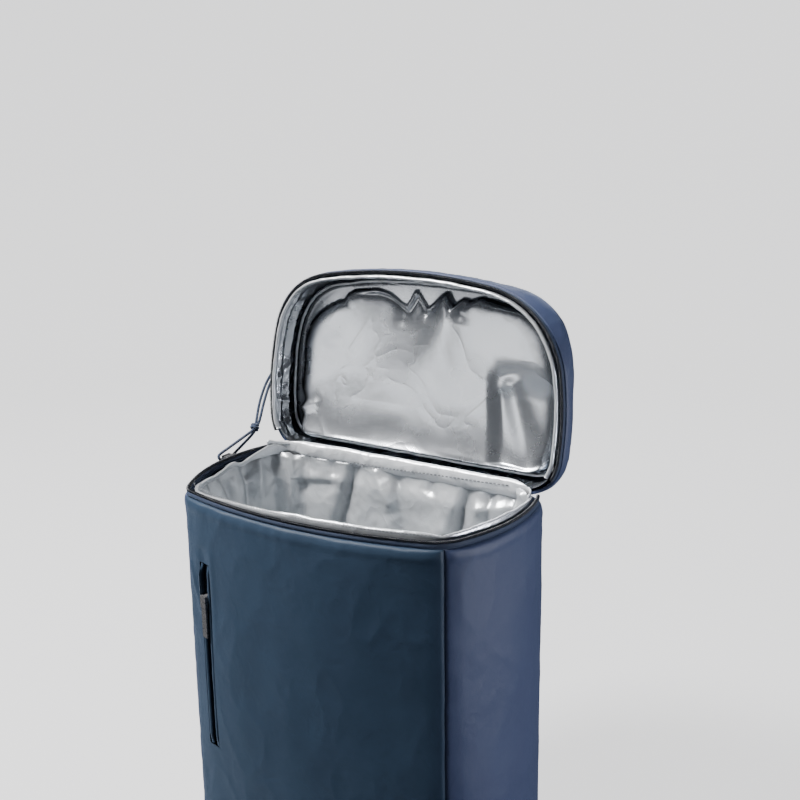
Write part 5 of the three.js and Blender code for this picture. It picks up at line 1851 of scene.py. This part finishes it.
def makeStrap(label, side, values):
    top = bodyHeight - values["topDrop"]
    route = [
        (
            side * (values["topSpacing"] + (values["footSpacing"] - values["topSpacing"]) * spread) / 2,
            backLineY + faceOfBack + values["thickness"] / 2 + values["bulge"] * off,
            values["footHeight"] + (top - values["footHeight"]) * height,
        )
        for spread, height, off in values["rows"]
    ]
    line = routeThrough(route, 150)
    share = np.linspace(0, 1, len(line))
    half = (values["width"] + (values["footWidth"] - values["width"]) * smooth(share)) / 2
    ends = np.minimum(1, np.minimum(share, 1 - share) / 0.025)
    ends = np.sqrt(1 - (1 - ends) ** 2)
    half = half * (0.9 + 0.1 * ends)
    thick = values["thickness"] / 2
    run = share * 330
    across = np.linspace(-1, 1, 27)
    quilt = 1 - np.exp(-(((np.abs(across) - 0.80) / 0.035) ** 2)) * 0.35
    crown = (0.42 + 0.58 * np.sqrt(np.clip(1 - np.abs(across) ** 3.2, 0, 1))) * quilt * thick
    crown[[0, -1]] = thick * 0.16
    upper, lower = [], []
    for place, height in zip(across, crown):
        wrinkle = 0.22 * roughNoise(run / 17, run * 0 + place * 1.6, 121)
        wrinkle = wrinkle + 0.16 * creases(run / 12, run * 0 + place * 2, 123)
        edge = 1 - place**6
        upper.append((place, (height + wrinkle * edge) * (0.35 + 0.65 * ends)))
        lower.append((place, -(height * 0.92 + wrinkle * edge) * (0.35 + 0.65 * ends)))
    padding = bandGrid(line, half, upper + lower[::-1])
    strap = gridObject(f"strap{label}", padding, navyCloth, closedRows=True, capEnds=True)
    settle(strap, "cloth", f"shoulder_strap_{label.lower()}")

    for edgeSide, edgeName in [(-1, "Inner"), (1, "Outer")]:
        inner = edgeSide * (1 - values["bindingReach"] / half)
        _, sideways, facing = bandFrame(line)
        rows = []
        for reach, lift in values["bindingRows"]:
            place = inner + (edgeSide * (1 + 0.6 / half) - inner) * reach
            ripple = 0.12 * softNoise(run / 5, run * 0 + reach, 125)
            rise = thick * lift * (1 if reach > 0 else 1.1) + ripple
            rows.append(line + sideways * (half * place)[:, None] + facing * rise[:, None])
        rows = np.stack(rows)
        binding = gridObject(f"strap{label}{edgeName}Binding", rows[:, 2:-2], webbingCloth, thickness=0.6)
        settle(binding, "cloth")
        seam = line + sideways * (half * (inner + edgeSide * 1.6 / half))[:, None] + facing * (thick * 0.66)
        name = f"strap{label}{edgeName}Stitches"
        settle(stitchRow(name, seam[4:-4], navyThread, 3.6, 2.5, 0.24, 0.3, facing[4:-4]), "cloth")

    along, _, _ = bandFrame(line)
    foot, leave = line[-1], along[-1]
    start = foot + leave * (values["adjusterLength"] + 0.8)
    anchorX = side * (bodyPlan["backWidth"] / 2 - values["anchorFromSide"])
    width, length, thickness = values["anchorSize"]
    end = np.array([
        anchorX,
        backLineY + faceOfBack + values["webbingThickness"] / 2 + 0.4,
        values["anchorHeight"] + length / 2 + 0.4,
    ])
    reach = 0.4 * np.linalg.norm(end - start)
    t = np.linspace(0, 1, 60)[:, None]
    handles = [start, start + leave * reach, end + np.array([0, 0, reach]), end]
    band = sum(weight * handle for weight, handle in zip(
        [(1 - t) ** 3, 3 * t * (1 - t) ** 2, 3 * t**2 * (1 - t), t**3], handles
    ))
    halfBand, halfThick = values["webbingWidth"] / 2, values["webbingThickness"] / 2
    profile = [(place, halfThick * (0.55 if abs(place) > 0.97 else 1)) for place in np.linspace(-1, 1, 13)]
    profile += [(place, -lift) for place, lift in profile[::-1]]
    webbingRows = bandGrid(band, halfBand, profile)
    webbing = gridObject(f"webbing{label}", webbingRows, webbingCloth, closedRows=True, capEnds=True)
    settle(webbing, "webbing", f"strap_webbing_{label.lower()}")

    anchorMiddle = np.array([anchorX, backLineY + faceOfBack + thickness / 2, values["anchorHeight"]])
    patch = makePatch(f"anchor{label}", anchorMiddle, (width, length, thickness), navyCloth)
    settle(patch, "cloth", f"strap_anchor_{label.lower()}")
    corners = [(-1, -1), (1, -1), (1, 1), (-1, 1), (-1, -1), (1, 1), (1, -1), (-1, 1)]
    path = [
        anchorMiddle + np.array([across * (width / 2 - 3.5), thickness / 2 + 0.2, up * (length / 2 - 3.5)])
        for across, up in corners
    ]
    sides = [np.linspace(a, b, 12, endpoint=False) for a, b in zip(path[:-1], path[1:])]
    path = np.concatenate([*sides, path[-1:]])
    outward = np.tile([0.0, 1.0, 0.0], (len(path), 1))
    settle(stitchRow(f"anchor{label}Stitches", path, navyThread, 2.8, 2.0, 0.24, 0.3, outward), "cloth")


# Way in from the outline, and height in shares of the thickness; None is the middle
patchRows = [
    (0.0, -0.5), (0.0, 0.0), (0.35, 0.32), (0.9, 0.46), (1.6, 0.5), (3.2, 0.42), (6.0, 0.42), (None, 0.44),
]
middleShare = 0.02  # size of the innermost row


# A flat patch of doubled cloth with turned edges, facing backward
def makePatch(name, middle, size, material):
    width, height, thickness = size
    turn = np.linspace(0, 2 * math.pi, 97)[:-1]
    power = 0.28
    across = np.sign(np.cos(turn)) * np.abs(np.cos(turn)) ** power * width / 2
    up = np.sign(np.sin(turn)) * np.abs(np.sin(turn)) ** power * height / 2
    rows = []
    for shrink, lift in patchRows:
        factor = middleShare if shrink is None else 1 - 2 * shrink / min(width, height)
        wave = 0.1 * softNoise(across * factor / 6, up * factor / 6, 131) * (0 if lift < 0 else 1)
        rows.append(np.column_stack([
            middle[0] + across * (middleShare if shrink is None else 1 - 2 * shrink / width),
            middle[1] + lift * thickness + wave,
            middle[2] + up * (middleShare if shrink is None else 1 - 2 * shrink / height),
        ]))
    under = across * 0 + middle[1] - thickness / 2
    rows.insert(0, np.column_stack([middle[0] + across * middleShare, under, middle[2] + up * middleShare]))
    return gridObject(name, np.stack(rows), material, closed=True)


def makeYoke(values):
    width, height, thickness = values["yokeSize"]
    low = bodyHeight - values["topDrop"] + 1.2
    middle = np.array([0, backLineY + faceOfBack + thickness / 2, low + height / 2])
    yoke = makePatch("yoke", middle, values["yokeSize"], navyCloth)
    settle(yoke, "cloth", "strap_yoke")
    for up, name in [(height / 2 - 4, "Upper"), (4 - height / 2, "Lower")]:
        x = np.linspace(-width / 2 + 5, width / 2 - 5, 80)
        line = np.column_stack([x, x * 0 + middle[1] + thickness * 0.46 + 0.15, x * 0 + middle[2] + up])
        outward = np.tile([0.0, 1.0, 0.0], (len(x), 1))
        settle(stitchRow(f"yoke{name}Stitches", line, navyThread, 3.4, 2.4, 0.24, 0.3, outward), "cloth")


makeYoke(strapSettings)
makeStrap("Right", 1, strapSettings)
makeStrap("Left", -1, strapSettings)
for name in ["strap_adjuster_right", "strap_adjuster_left"]:
    finishNode(name, blackPlastic, 1.2)
print("straps made")
